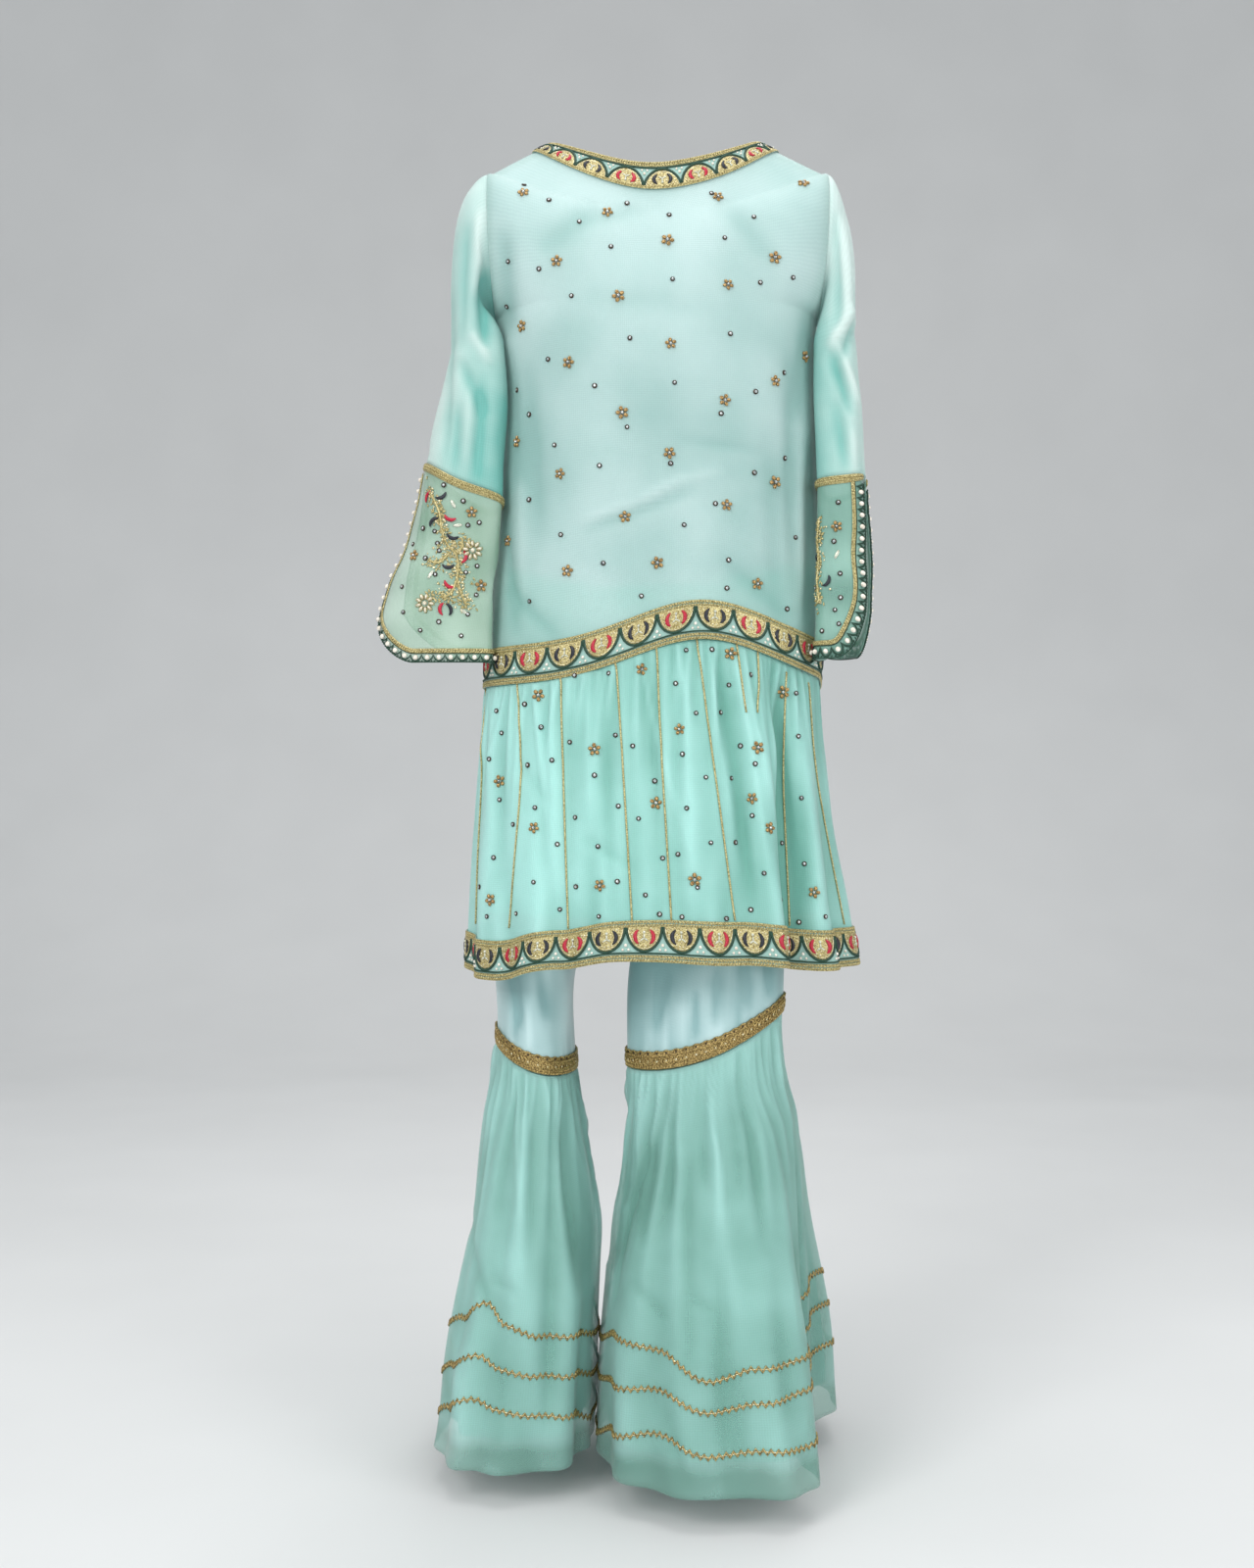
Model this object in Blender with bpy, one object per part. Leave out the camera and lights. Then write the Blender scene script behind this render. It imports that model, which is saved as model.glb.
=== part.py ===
"""A short kameez with a gathered skirt, and sharara trousers gathered below the knee.

The suit hangs in its worn form with nobody in it: every cloth is a thin open wall.
Metres, +Z up. The front faces -Y, and left and right are as seen from the front, so the
left sleeve is at -X. The origin is between the neck ends of the two shoulder seams, and
a drop is a distance below it. An angle goes round a tube from +X, through the back (+Y).
"""

from collections import namedtuple
from math import acos, cos, degrees, exp, pi, radians, sin

import bmesh
import bpy
from mathutils import Vector

# ---- driving dimensions ------------------------------------------------------------

CLOTH_WALL = 0.0014
TRIM_WALL = 0.0012
SEAM_GAP = 0.0003
TRIM_LIFT = 0.0007
ARMHOLE_GAP = 0.0012

NECK_HALF_WIDTH = 0.118
SHOULDER_DROP = 0.034
SHOULDER_LEFT = 0.186
SHOULDER_RIGHT = 0.192
UNDERARM_DROP = 0.200
ARMHOLE_DEPTH = 0.066
ARMHOLE_SQUARENESS = 0.8

WAIST_ARCH = 0.046
WAIST_ARCH_X = 0.050
WAIST_ARCH_SPREAD = 0.105
ARCH_TOP_PLACE = 0.7
ARCH_FADE_PLACES = 0.6
ARCH_EDGE_FADE = 0.25
HEM_BORDER_HEIGHT = 0.041
SKIRT_LENGTH = 0.31
FOLD_GROWTH = 0.8

LINING_INSET = 0.0055
LINING_HEM_DROP = 0.856
CUFF_LENGTH = 0.195
CUFF_CORNER = 0.050
CUFF_CORNER_SHARE = 0.17
CUFF_BORDER_WIDTH = 0.013
CUFF_BRAID_WIDTH = 0.009

CROTCH_DROP = 0.720
WAISTBAND_TOP = 0.500
WAISTBAND_HEIGHT = 0.038
WAISTBAND_HALF_WIDTH = 0.154
WAISTBAND_HALF_DEPTH = 0.088
INSEAM_ANGLE = 0.15
CENTRE_GAP = 0.0010
LACE_HEIGHT = 0.019
KNEE_GAP = 0.0008
FLARE_HEM_DROP = 1.425

# ---- sections ----------------------------------------------------------------------

# Lines across the bodice. place: 0 waist seam, 1 underarm, 2 shoulder point, 3 neckline.
# left and right: reach at the side seam. front and back: reach and drop at the middle.
# round: 1 for an elliptical line, less for a squarer one.
Line = namedtuple("Line", "place left right front front_drop back back_drop round")
BODICE_LINES = (
    Line(0.00, 0.190, 0.184, 0.134, 0.609, 0.110, 0.609, 0.86),
    Line(0.10, 0.188, 0.186, 0.133, 0.568, 0.106, 0.568, 0.86),
    Line(0.30, 0.181, 0.187, 0.130, 0.487, 0.098, 0.487, 0.86),
    Line(0.55, 0.173, 0.183, 0.128, 0.385, 0.094, 0.385, 0.86),
    Line(0.80, 0.170, 0.179, 0.132, 0.281, 0.099, 0.281, 0.87),
    Line(1.00, 0.177, 0.181, 0.125, 0.200, 0.104, 0.200, 0.90),
    Line(1.50, 0.183, 0.188, 0.109, 0.138, 0.105, 0.130, 1.15),
    Line(2.00, 0.186, 0.192, 0.093, 0.100, 0.094, 0.077, 1.15),
    Line(2.725, 0.137, 0.137, 0.082, 0.074, 0.073, 0.043, 1.00),
    Line(3.00, 0.118, 0.118, 0.070, 0.041, 0.060, 0.013, 1.00),
)

# Rings of the skirt, from the waist seam (fall 0) to the hem (fall 1).
Ring = namedtuple("Ring", "fall left right front back")
SKIRT_RINGS = (
    Ring(0.00, 0.190, 0.184, 0.134, 0.110),
    Ring(0.25, 0.195, 0.187, 0.141, 0.118),
    Ring(0.60, 0.203, 0.201, 0.151, 0.133),
    Ring(1.00, 0.207, 0.221, 0.162, 0.150),
)

# Rings of the bodice lining below the waist seam, by drop.
Slip = namedtuple("Slip", "drop left right front back")
LINING_RINGS = (
    Slip(0.540, 0.180, 0.178, 0.126, 0.099),
    Slip(0.609, 0.181, 0.176, 0.125, 0.102),
    Slip(0.720, 0.183, 0.176, 0.127, 0.112),
    Slip(0.856, 0.188, 0.184, 0.132, 0.128),
)

# Crests (+) and troughs (-) round a gathered cloth, as reach at its hem.
Fold = namedtuple("Fold", "angle out")
SKIRT_FOLDS = (
    Fold(8, -0.004), Fold(20, 0.007), Fold(33, -0.007), Fold(45, 0.006), Fold(60, -0.005),
    Fold(72, 0.007), Fold(86, -0.007), Fold(99, 0.006), Fold(115, -0.006), Fold(128, 0.008),
    Fold(143, -0.005), Fold(156, 0.006), Fold(170, -0.004), Fold(184, 0.003), Fold(196, -0.004),
    Fold(208, 0.006), Fold(221, -0.005), Fold(234, 0.004), Fold(246, -0.005), Fold(258, 0.004),
    Fold(270, -0.004), Fold(282, 0.004), Fold(292, -0.002), Fold(301, 0.012), Fold(312, -0.027),
    Fold(324, 0.008), Fold(334, -0.006), Fold(345, 0.007), Fold(357, 0.002),
)

# Drop of the kameez hem round the skirt.
HemPoint = namedtuple("HemPoint", "angle drop")
SKIRT_HEM = (
    HemPoint(0, 0.912), HemPoint(90, 0.917), HemPoint(180, 0.918), HemPoint(215, 0.924),
    HemPoint(243, 0.908), HemPoint(262, 0.898), HemPoint(290, 0.903), HemPoint(322, 0.913),
)

# Rings of a hanging sleeve and its cuff. out and into: reach away from and towards the body.
Arm = namedtuple("Arm", "drop out into fore aft")
SLEEVE_RINGS = {
    "left": (
        Arm(0.235, 0.229, 0.1800, 0.076, 0.066),
        Arm(0.300, 0.239, 0.1775, 0.080, 0.050),
        Arm(0.370, 0.255, 0.1790, 0.083, 0.038),
        Arm(0.430, 0.267, 0.1825, 0.084, 0.026),
        Arm(0.500, 0.292, 0.1880, 0.086, 0.012),
        Arm(0.540, 0.303, 0.1910, 0.087, 0.008),
        Arm(0.600, 0.302, 0.1930, 0.087, 0.008),
    ),
    "right": (
        Arm(0.235, 0.226, 0.1860, 0.078, 0.066),
        Arm(0.300, 0.229, 0.1885, 0.083, 0.058),
        Arm(0.370, 0.232, 0.1905, 0.090, 0.050),
        Arm(0.430, 0.235, 0.1915, 0.097, 0.047),
        Arm(0.500, 0.237, 0.1915, 0.104, 0.044),
        Arm(0.540, 0.235, 0.1915, 0.108, 0.042),
        Arm(0.600, 0.230, 0.1915, 0.108, 0.042),
    ),
}
CAP_FULLNESS = {"left": 0.60, "right": 0.30}
CAP_SLOPE = 0.25
CUFF_SEAM_DROP = {"left": 0.385, "right": 0.383}
CUFF_SEAM_SLANT = {"left": 0.024, "right": 0.004}
CUFF_HEM_DROP = {"left": 0.584, "right": 0.581}
SIDE_SIGN = {"left": -1, "right": 1}
# First and last angle of a cuff's cloth, from one edge of its slit round to the other.
Slit = namedtuple("Slit", "fall first last")
CUFF_SLITS = {
    "left": (Slit(0.0, 182.0, 532.0), Slit(1.0, 184.0, 490.0)),
    "right": (Slit(0.0, -14.0, 298.0), Slit(1.0, -8.0, 294.0)),
}

# Rings of a trouser leg: middle, half sizes, and round as for the bodice.
Leg = namedtuple("Leg", "drop middle_x middle_y half_width half_depth round")
LEG_RINGS = {
    "left": (
        Leg(0.500, -0.0100, 0.000, 0.144, 0.088, 0.95),
        Leg(0.600, -0.0350, 0.000, 0.130, 0.093, 0.97),
        Leg(0.680, -0.0700, 0.000, 0.098, 0.094, 1.00),
        Leg(0.720, -0.0860, 0.000, 0.084, 0.092, 1.00),
        Leg(0.820, -0.1130, 0.001, 0.063, 0.088, 1.00),
        Leg(0.920, -0.1325, 0.001, 0.0445, 0.084, 1.00),
        Leg(1.017, -0.1330, -0.001, 0.0440, 0.083, 1.00),
        Leg(1.080, -0.1350, -0.004, 0.0535, 0.100, 0.94),
        Leg(1.200, -0.1330, -0.011, 0.0705, 0.122, 0.84),
        Leg(1.320, -0.1450, -0.017, 0.0810, 0.139, 0.78),
        Leg(1.440, -0.1550, -0.022, 0.0860, 0.149, 0.75),
    ),
    "right": (
        Leg(0.500, 0.0100, 0.000, 0.144, 0.088, 0.95),
        Leg(0.600, 0.0350, 0.000, 0.130, 0.093, 0.97),
        Leg(0.680, 0.0660, -0.005, 0.100, 0.094, 1.00),
        Leg(0.720, 0.0780, -0.010, 0.0775, 0.092, 1.00),
        Leg(0.820, 0.0700, -0.030, 0.0790, 0.068, 1.00),
        Leg(0.920, 0.0560, -0.048, 0.0850, 0.056, 1.00),
        Leg(1.020, 0.0545, -0.054, 0.0850, 0.060, 0.98),
        Leg(1.080, 0.0660, -0.046, 0.0950, 0.084, 0.92),
        Leg(1.200, 0.0680, -0.044, 0.1150, 0.131, 0.84),
        Leg(1.320, 0.0730, -0.046, 0.1320, 0.167, 0.80),
        Leg(1.440, 0.0765, -0.048, 0.1415, 0.189, 0.78),
    ),
}
FLARE_FOLDS = {
    "left": (
        Fold(0, 0.000), Fold(18, -0.008), Fold(38, 0.008), Fold(58, -0.008), Fold(78, 0.010),
        Fold(98, -0.010), Fold(120, 0.008), Fold(140, -0.012), Fold(160, 0.008),
        Fold(178, -0.010), Fold(198, 0.004), Fold(216, -0.005), Fold(235, 0.006),
        Fold(252, -0.006), Fold(268, 0.003), Fold(285, -0.005), Fold(305, 0.006),
        Fold(325, -0.008), Fold(343, 0.002),
    ),
    "right": (
        Fold(0, -0.050), Fold(22, 0.000), Fold(42, 0.016), Fold(60, 0.000), Fold(76, 0.010),
        Fold(94, -0.010), Fold(112, 0.008), Fold(130, -0.010), Fold(150, 0.008),
        Fold(168, -0.008), Fold(186, 0.002), Fold(204, -0.006), Fold(222, 0.006),
        Fold(238, -0.006), Fold(255, 0.004), Fold(270, -0.003), Fold(285, 0.005),
        Fold(302, -0.006), Fold(324, -0.052), Fold(345, -0.074),
    ),
}
# Drop of the knee seam at the outer side, and how much lower it is at the inner side.
KNEE_SEAM_DROP = {"left": 1.002, "right": 0.962}
KNEE_SEAM_FALL = {"left": 0.030, "right": 0.060}
GATHER_START = 1.03

# ---- reading the tables --------------------------------------------------------------


def smooth(rows, key, column, at):
    """Value of a named column at a place between rows, on a curve through the rows."""
    places = [getattr(row, key) for row in rows]
    values = [getattr(row, column) for row in rows]
    at = min(max(at, places[0]), places[-1])
    first = max(i for i in range(len(rows) - 1) if places[i] <= at)
    step = places[first + 1] - places[first]
    share = (at - places[first]) / step
    slopes = []
    for i in (first, first + 1):
        low, high = max(i - 1, 0), min(i + 1, len(rows) - 1)
        slopes.append((values[high] - values[low]) / (places[high] - places[low]) * step)
    rise = values[first + 1] - values[first]
    bend_in = share * (1 - share) ** 2 * (slopes[0] - rise)
    bend_out = share ** 2 * (1 - share) * (rise - slopes[1])
    return values[first] + rise * share + bend_in + bend_out


def around(rows, column, angle):
    """Value of a named column at an angle, eased from row to row round a closed ring."""
    turn = angle % 360.0
    after = [i for i, row in enumerate(rows) if row.angle > turn]
    upper = after[0] if after else 0
    low, high = rows[upper - 1], rows[upper]
    width = (high.angle - low.angle) % 360.0
    share = ((turn - low.angle) % 360.0) / width
    ease = 0.5 - 0.5 * cos(pi * share)
    return getattr(low, column) * (1 - ease) + getattr(high, column) * ease


def signed_power(value, power):
    """A power that keeps the sign, for rounded-square rings."""
    return (1 if value >= 0 else -1) * abs(value) ** power


# ---- where the cloth runs ------------------------------------------------------------


def armhole_point(side, angle):
    """A point of the armhole: its shoulder is away from the body, its underarm towards it."""
    sign = SIDE_SIGN[side]
    upward = 0.5 + 0.5 * cos(radians(angle)) * sign
    shoulder_x = SHOULDER_LEFT if side == "left" else SHOULDER_RIGHT
    underarm_x = smooth(BODICE_LINES, "place", side, 1.0)
    x = underarm_x + (shoulder_x - underarm_x) * upward ** ARMHOLE_SQUARENESS
    drop = UNDERARM_DROP + (SHOULDER_DROP - UNDERARM_DROP) * upward
    return Vector((sign * x, ARMHOLE_DEPTH * sin(radians(angle)), -drop))


def bodice_edge(side, is_front, place):
    """A point of the side seam, then the armhole, then the shoulder seam."""
    sign = SIDE_SIGN[side]
    if place <= 1:
        drop = smooth(BODICE_LINES, "place", "front_drop", place)
        return Vector((sign * smooth(BODICE_LINES, "place", side, place), 0.0, -drop))
    if place < 2:
        climb = 180.0 * (place - 1)
        underarm = 180.0 if side == "right" else 0.0
        turns_up = 1 if is_front == (side == "right") else -1
        return armhole_point(side, underarm + turns_up * climb)
    share = place - 2
    shoulder = armhole_point(side, 0.0 if side == "right" else 180.0)
    neck = Vector((sign * NECK_HALF_WIDTH, 0.0, 0.0))
    return shoulder.lerp(neck, share)


def waist_lift(x, is_front):
    """How far the waist seam arches up at a distance from the middle of the front."""
    if not is_front:
        return 0.0
    return WAIST_ARCH * exp(-((x - WAIST_ARCH_X) / WAIST_ARCH_SPREAD) ** 2)


def bodice_point(angle, place):
    """A point on the outer face of the bodice."""
    across, through = cos(radians(angle)), sin(radians(angle))
    side = "right" if across >= 0 else "left"
    is_front = through < 0
    middle = "front" if is_front else "back"
    edge = bodice_edge(side, is_front, place)
    roundness = smooth(BODICE_LINES, "place", "round", place)
    reach = smooth(BODICE_LINES, "place", middle, place) * (-1 if is_front else 1)
    drop = smooth(BODICE_LINES, "place", middle + "_drop", place)
    forward = abs(through) ** roundness
    x = edge.x * abs(across) ** min(roundness, 1.0)
    y = edge.y + (reach - edge.y) * forward
    z = edge.z + (-drop - edge.z) * through ** 2
    arch = waist_lift(x, is_front) * min(1.0, abs(through) / ARCH_EDGE_FADE)
    arch *= min(1.0, max(0.0, (ARCH_TOP_PLACE - place) / ARCH_FADE_PLACES))
    return Vector((x, y, z + arch))


def skirt_point(angle, fall):
    """A point on the outer face of the gathered skirt."""
    across, through = cos(radians(angle)), sin(radians(angle))
    is_front = through < 0
    squareness = smooth(BODICE_LINES, "place", "round", 0.0)
    width = smooth(SKIRT_RINGS, "fall", "right" if across >= 0 else "left", fall)
    depth = smooth(SKIRT_RINGS, "fall", "front" if is_front else "back", fall)
    fold = around(SKIRT_FOLDS, "out", angle) * fall ** FOLD_GROWTH
    x = width * signed_power(across, squareness) + fold * across
    y = depth * signed_power(through, squareness) + fold * through
    seam = -bodice_point(angle, 0.0).z
    hem = around(SKIRT_HEM, "drop", angle)
    return Vector((x, y, -(seam + SEAM_GAP + (hem - seam) * fall)))


def lining_point(angle, drop):
    """A point on the outer face of the lining, below the underarms."""
    across, through = cos(radians(angle)), sin(radians(angle))
    width = smooth(LINING_RINGS, "drop", "right" if across >= 0 else "left", drop)
    depth = smooth(LINING_RINGS, "drop", "front" if through < 0 else "back", drop)
    squareness = smooth(BODICE_LINES, "place", "round", 0.0)
    x = width * signed_power(across, squareness)
    return Vector((x, depth * signed_power(through, squareness), -drop))


def cuff_seam_drop(side, angle):
    """Drop of the seam between sleeve and cuff, lower towards the body."""
    return CUFF_SEAM_DROP[side] - CUFF_SEAM_SLANT[side] * cos(radians(angle)) * SIDE_SIGN[side]


def arm_point(side, angle, drop):
    """A point of the hanging sleeve or cuff, at the ring of a drop."""
    rings = SLEEVE_RINGS[side]
    out = smooth(rings, "drop", "out", drop)
    into = smooth(rings, "drop", "into", drop)
    fore = smooth(rings, "drop", "fore", drop)
    aft = smooth(rings, "drop", "aft", drop)
    x = SIDE_SIGN[side] * (out + into) / 2 + (out - into) / 2 * cos(radians(angle))
    y = (aft - fore) / 2 + (aft + fore) / 2 * sin(radians(angle))
    return Vector((x, y, -drop))


def sleeve_point(side, angle, fall):
    """A point of the sleeve: fall 0 armhole, 1 below the underarm, 2 cuff seam."""
    first_drop = SLEEVE_RINGS[side][0].drop
    if fall > 1:
        seam = cuff_seam_drop(side, angle) - SEAM_GAP
        return arm_point(side, angle, first_drop + (seam - first_drop) * (fall - 1))
    start = armhole_point(side, angle)
    start.x += SIDE_SIGN[side] * ARMHOLE_GAP
    end = arm_point(side, angle, first_drop)
    span = (end - start).length
    outward = Vector((SIDE_SIGN[side], 0.0, -CAP_SLOPE)) * span * CAP_FULLNESS[side]
    downward = Vector((0.0, 0.0, -1.0)) * span
    left = 1 - fall
    return (start * (1 + 2 * fall) * left ** 2 + outward * fall * left ** 2
            + end * fall ** 2 * (3 - 2 * fall) - downward * fall ** 2 * left)


def cuff_point(side, around_share, fall):
    """A point of the cuff: around_share runs from slit to slit, fall from seam to edge."""
    first = smooth(CUFF_SLITS[side], "fall", "first", fall)
    last = smooth(CUFF_SLITS[side], "fall", "last", fall)
    angle = first + (last - first) * around_share
    to_slit = min(around_share, 1 - around_share)
    corner = CUFF_CORNER * max(0.0, 1 - to_slit / CUFF_CORNER_SHARE) ** 2
    seam = cuff_seam_drop(side, angle) + SEAM_GAP
    edge = CUFF_HEM_DROP[side] - corner
    return arm_point(side, angle, seam + (edge - seam) * fall)


def leg_point(leg, angle, drop, slack=0.0):
    """A point on the outer face of a leg or flare, or further in by the slack."""
    rings = LEG_RINGS[leg]
    roundness = smooth(rings, "drop", "round", drop)
    width = smooth(rings, "drop", "half_width", drop) - slack
    depth = smooth(rings, "drop", "half_depth", drop) - slack
    across, through = cos(radians(angle)), sin(radians(angle))
    flare = max(0.0, (drop - GATHER_START) / (FLARE_HEM_DROP - GATHER_START))
    fold = around(FLARE_FOLDS[leg], "out", angle) * flare
    x = smooth(rings, "drop", "middle_x", drop) + width * signed_power(across, roundness)
    y = smooth(rings, "drop", "middle_y", drop) + depth * signed_power(through, roundness)
    return Vector((x + fold * across, y + fold * through, -drop))


def knee_drop(leg, angle):
    """Drop of the knee seam, which rises towards the outer side of the leg."""
    outward = 0.5 + 0.5 * cos(radians(angle)) * SIDE_SIGN[leg]
    return KNEE_SEAM_DROP[leg] + KNEE_SEAM_FALL[leg] * (1 - outward ** 2)


def inseam_angles(leg, drop):
    """First and last angle of a leg's cloth; above the crotch it stops at the middle."""
    open_angle = INSEAM_ANGLE
    if drop < CROTCH_DROP:
        ring_middle = abs(smooth(LEG_RINGS[leg], "drop", "middle_x", drop))
        half_width = smooth(LEG_RINGS[leg], "drop", "half_width", drop)
        roundness = smooth(LEG_RINGS[leg], "drop", "round", drop)
        reach = min(1.0, (ring_middle - CENTRE_GAP) / half_width)
        open_angle = max(INSEAM_ANGLE, degrees(acos(reach ** (1 / roundness))))
    inner_side = 180.0 if leg == "right" else 0.0
    return inner_side + open_angle, inner_side + 360.0 - open_angle


# ---- making cloth --------------------------------------------------------------------


def make_material(name, colour, roughness, metallic=0.0):
    """A plain finish for one kind of cloth or trim."""
    material = bpy.data.materials.new(name)
    material.use_nodes = True
    shader = material.node_tree.nodes["Principled BSDF"]
    shader.inputs["Base Color"].default_value = (*colour, 1.0)
    shader.inputs["Roughness"].default_value = roughness
    shader.inputs["Metallic"].default_value = metallic
    return material


def spread(start, end, count):
    """Evenly spaced values from start to end, both included."""
    return [start + (end - start) * i / count for i in range(count + 1)]


def whole_turn(columns):
    """Evenly spaced angles once round a tube."""
    return [360.0 * i / columns for i in range(columns)]


def make_cloth(name, rows, material, wall=CLOTH_WALL, closed=False, keep=None):
    """One solid of cloth: rows of points from top to bottom, given a wall inwards."""
    shape = bmesh.new()
    corners = [[shape.verts.new(point) for point in row] for row in rows]
    width = len(corners[0])
    for r in range(len(corners) - 1):
        for c in range(width if closed else width - 1):
            if keep and not keep(r, c):
                continue
            d = (c + 1) % width
            shape.faces.new((corners[r][c], corners[r + 1][c], corners[r + 1][d], corners[r][d]))
    loose = [corner for corner in shape.verts if not corner.link_faces]
    bmesh.ops.delete(shape, geom=loose, context="VERTS")
    bmesh.ops.triangulate(shape, faces=shape.faces[:], quad_method="FIXED")
    mesh = bpy.data.meshes.new(name)
    shape.to_mesh(mesh)
    shape.free()
    mesh.shade_smooth()
    mesh.materials.append(material)
    piece = bpy.data.objects.new(name, mesh)
    bpy.context.collection.objects.link(piece)
    thickness = piece.modifiers.new("wall", "SOLIDIFY")
    thickness.thickness = wall
    thickness.offset = -1.0
    thickness.use_even_offset = True
    return piece


def outward(rows, r, c, closed):
    """The outward direction at one point of a panel, from its neighbours."""
    width = len(rows[0])
    before = (c - 1) % width if closed else max(c - 1, 0)
    after = (c + 1) % width if closed else min(c + 1, width - 1)
    above, below = max(r - 1, 0), min(r + 1, len(rows) - 1)
    along = rows[r][after] - rows[r][before]
    down = rows[below][c] - rows[above][c]
    return down.cross(along).normalized()


def moved_out(rows, lift, closed=False):
    """The same rows of points, moved out from the cloth by a lift."""
    return [[point + outward(rows, r, c, closed) * lift for c, point in enumerate(row)]
            for r, row in enumerate(rows)]


def lay_trim(name, panel, first, last, material, closed=False, keep=None):
    """A trim laid on some rows of a panel, made from the panel's own points."""
    rows = moved_out(panel, TRIM_LIFT + TRIM_WALL, closed)[first:last + 1]
    return make_cloth(name, rows, material, TRIM_WALL, closed, keep)


# ---- finishes ------------------------------------------------------------------------

for old in list(bpy.data.objects):
    bpy.data.objects.remove(old)

CHIFFON = make_material("aqua_chiffon", (0.49, 0.79, 0.74), 0.6)
LINING = make_material("pale_crepe_lining", (0.52, 0.74, 0.73), 0.5)
ORGANZA = make_material("sage_organza", (0.47, 0.64, 0.54), 0.5)
SATIN = make_material("pale_aqua_satin", (0.52, 0.78, 0.77), 0.35)
BORDER = make_material("zari_border", (0.45, 0.35, 0.12), 0.45, 0.4)
BRAID = make_material("gold_braid", (0.50, 0.38, 0.14), 0.4, 0.6)

# ---- bodice --------------------------------------------------------------------------

SIDE_ANGLE = 0.04
SEAM_SHIFT = 0.0004
HALVES = {"front": (180 + SIDE_ANGLE, 360 - SIDE_ANGLE), "back": (SIDE_ANGLE, 180 - SIDE_ANGLE)}
BODICE_PLACES = {
    "front": (3.0, 2.725, 2.35, 2.0, 1.75, 1.5, 1.25, 1.0, 0.80, 0.55, 0.30, 0.10, 0.0),
    "back": (3.0, 2.725, 2.0, 1.75, 1.5, 1.25, 1.0, 0.65, 0.30, 0.10, 0.0),
}
BODICE_COLUMNS = {"front": 14, "back": 12}


def half_rows(half, point_at, levels, columns):
    """Rows of points over the front or the back, set off from the side seams."""
    shift = Vector((0.0, -SEAM_SHIFT if half == "front" else SEAM_SHIFT, 0.0))
    angles = spread(*HALVES[half], columns)
    return [[point_at(angle, level) + shift for angle in angles] for level in levels]


for half, places in BODICE_PLACES.items():
    panel = half_rows(half, bodice_point, places, BODICE_COLUMNS[half])
    hem_row = len(places) - 1
    make_cloth("bodice_" + half, panel, CHIFFON)
    lay_trim("neck_border_" + half, panel, 0, 1, BORDER)
    lay_trim("waist_border_" + half, panel, hem_row - 1, hem_row, BORDER)

# ---- lining of the kameez --------------------------------------------------------------

LINING_WALL = 0.0012
LINING_PLACES = (3.0, 2.5, 2.0, 1.75, 1.5, 1.25, 1.0, 0.75, 0.45)
LINING_DROPS = (0.540, 0.720, LINING_HEM_DROP)
LINING_COLUMNS = 10
LINING_SEAM_Y = {"front": -0.0014, "back": 0.0014}

for half in HALVES:
    inside = half_rows(half, bodice_point, LINING_PLACES, LINING_COLUMNS)
    upper = moved_out(inside, -LINING_INSET)
    for place, row in zip(LINING_PLACES, upper):
        if not 1 < place < 2:       # the armhole stays open
            row[0].y = row[-1].y = LINING_SEAM_Y[half]
    lower = half_rows(half, lining_point, LINING_DROPS, LINING_COLUMNS)
    make_cloth("bodice_lining_" + half, upper + lower, LINING, LINING_WALL)

# ---- skirt -----------------------------------------------------------------------------

SKIRT_FALLS = (0.0, 0.30, 0.60, 1 - HEM_BORDER_HEIGHT / SKIRT_LENGTH, 1.0)
SKIRT_COLUMNS = {"front": 28, "back": 24}

for half, columns in SKIRT_COLUMNS.items():
    panel = half_rows(half, skirt_point, SKIRT_FALLS, columns)
    for c in range(1, columns, 2):      # straight between the bodice's wider columns
        panel[0][c] = (panel[0][c - 1] + panel[0][c + 1]) / 2
    hem_row = len(SKIRT_FALLS) - 1
    make_cloth("skirt_" + half, panel, CHIFFON)
    lay_trim("hem_border_" + half, panel, hem_row - 1, hem_row, BORDER)

# ---- sleeves and cuffs -------------------------------------------------------------------

SLEEVE_COLUMNS = 14
SLEEVE_FALLS = (0.0, 0.10, 0.22, 0.40, 0.65, 1.0, 1.5, 2.0)
CUFF_SLIT_STRIP = 0.045
CUFF_SHARES = [0.0, CUFF_SLIT_STRIP, *spread(0.10, 0.90, 12), 1 - CUFF_SLIT_STRIP, 1.0]
BORDER_START = 0.01      # the border starts just below the braid
CUFF_FALLS = (0.0, CUFF_BRAID_WIDTH / CUFF_LENGTH, 0.35, 0.65,
              1 - CUFF_BORDER_WIDTH / CUFF_LENGTH, 1.0)


def on_cuff_border(r, c):
    """Whether a cell of the cuff is in its border: along the slit or at the bottom."""
    last_column = len(CUFF_SHARES) - 2
    last_row = len(CUFF_FALLS) - 3
    return c in (0, last_column) or r == last_row


for side in ("left", "right"):
    panel = [[sleeve_point(side, angle, fall) for angle in whole_turn(SLEEVE_COLUMNS)]
             for fall in SLEEVE_FALLS]
    make_cloth("sleeve_" + side, panel, CHIFFON, closed=True)
    panel = [[cuff_point(side, share, fall) for share in CUFF_SHARES] for fall in CUFF_FALLS]
    make_cloth("cuff_" + side, panel, ORGANZA)
    lay_trim("cuff_braid_" + side, panel, 0, 1, BRAID)
    panel[1] = [top.lerp(below, BORDER_START) for top, below in zip(panel[1], panel[2])]
    hem_row = len(CUFF_FALLS) - 1
    lay_trim("cuff_border_" + side, panel, 1, hem_row, BORDER, keep=on_cuff_border)

# ---- trousers ------------------------------------------------------------------------------

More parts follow.
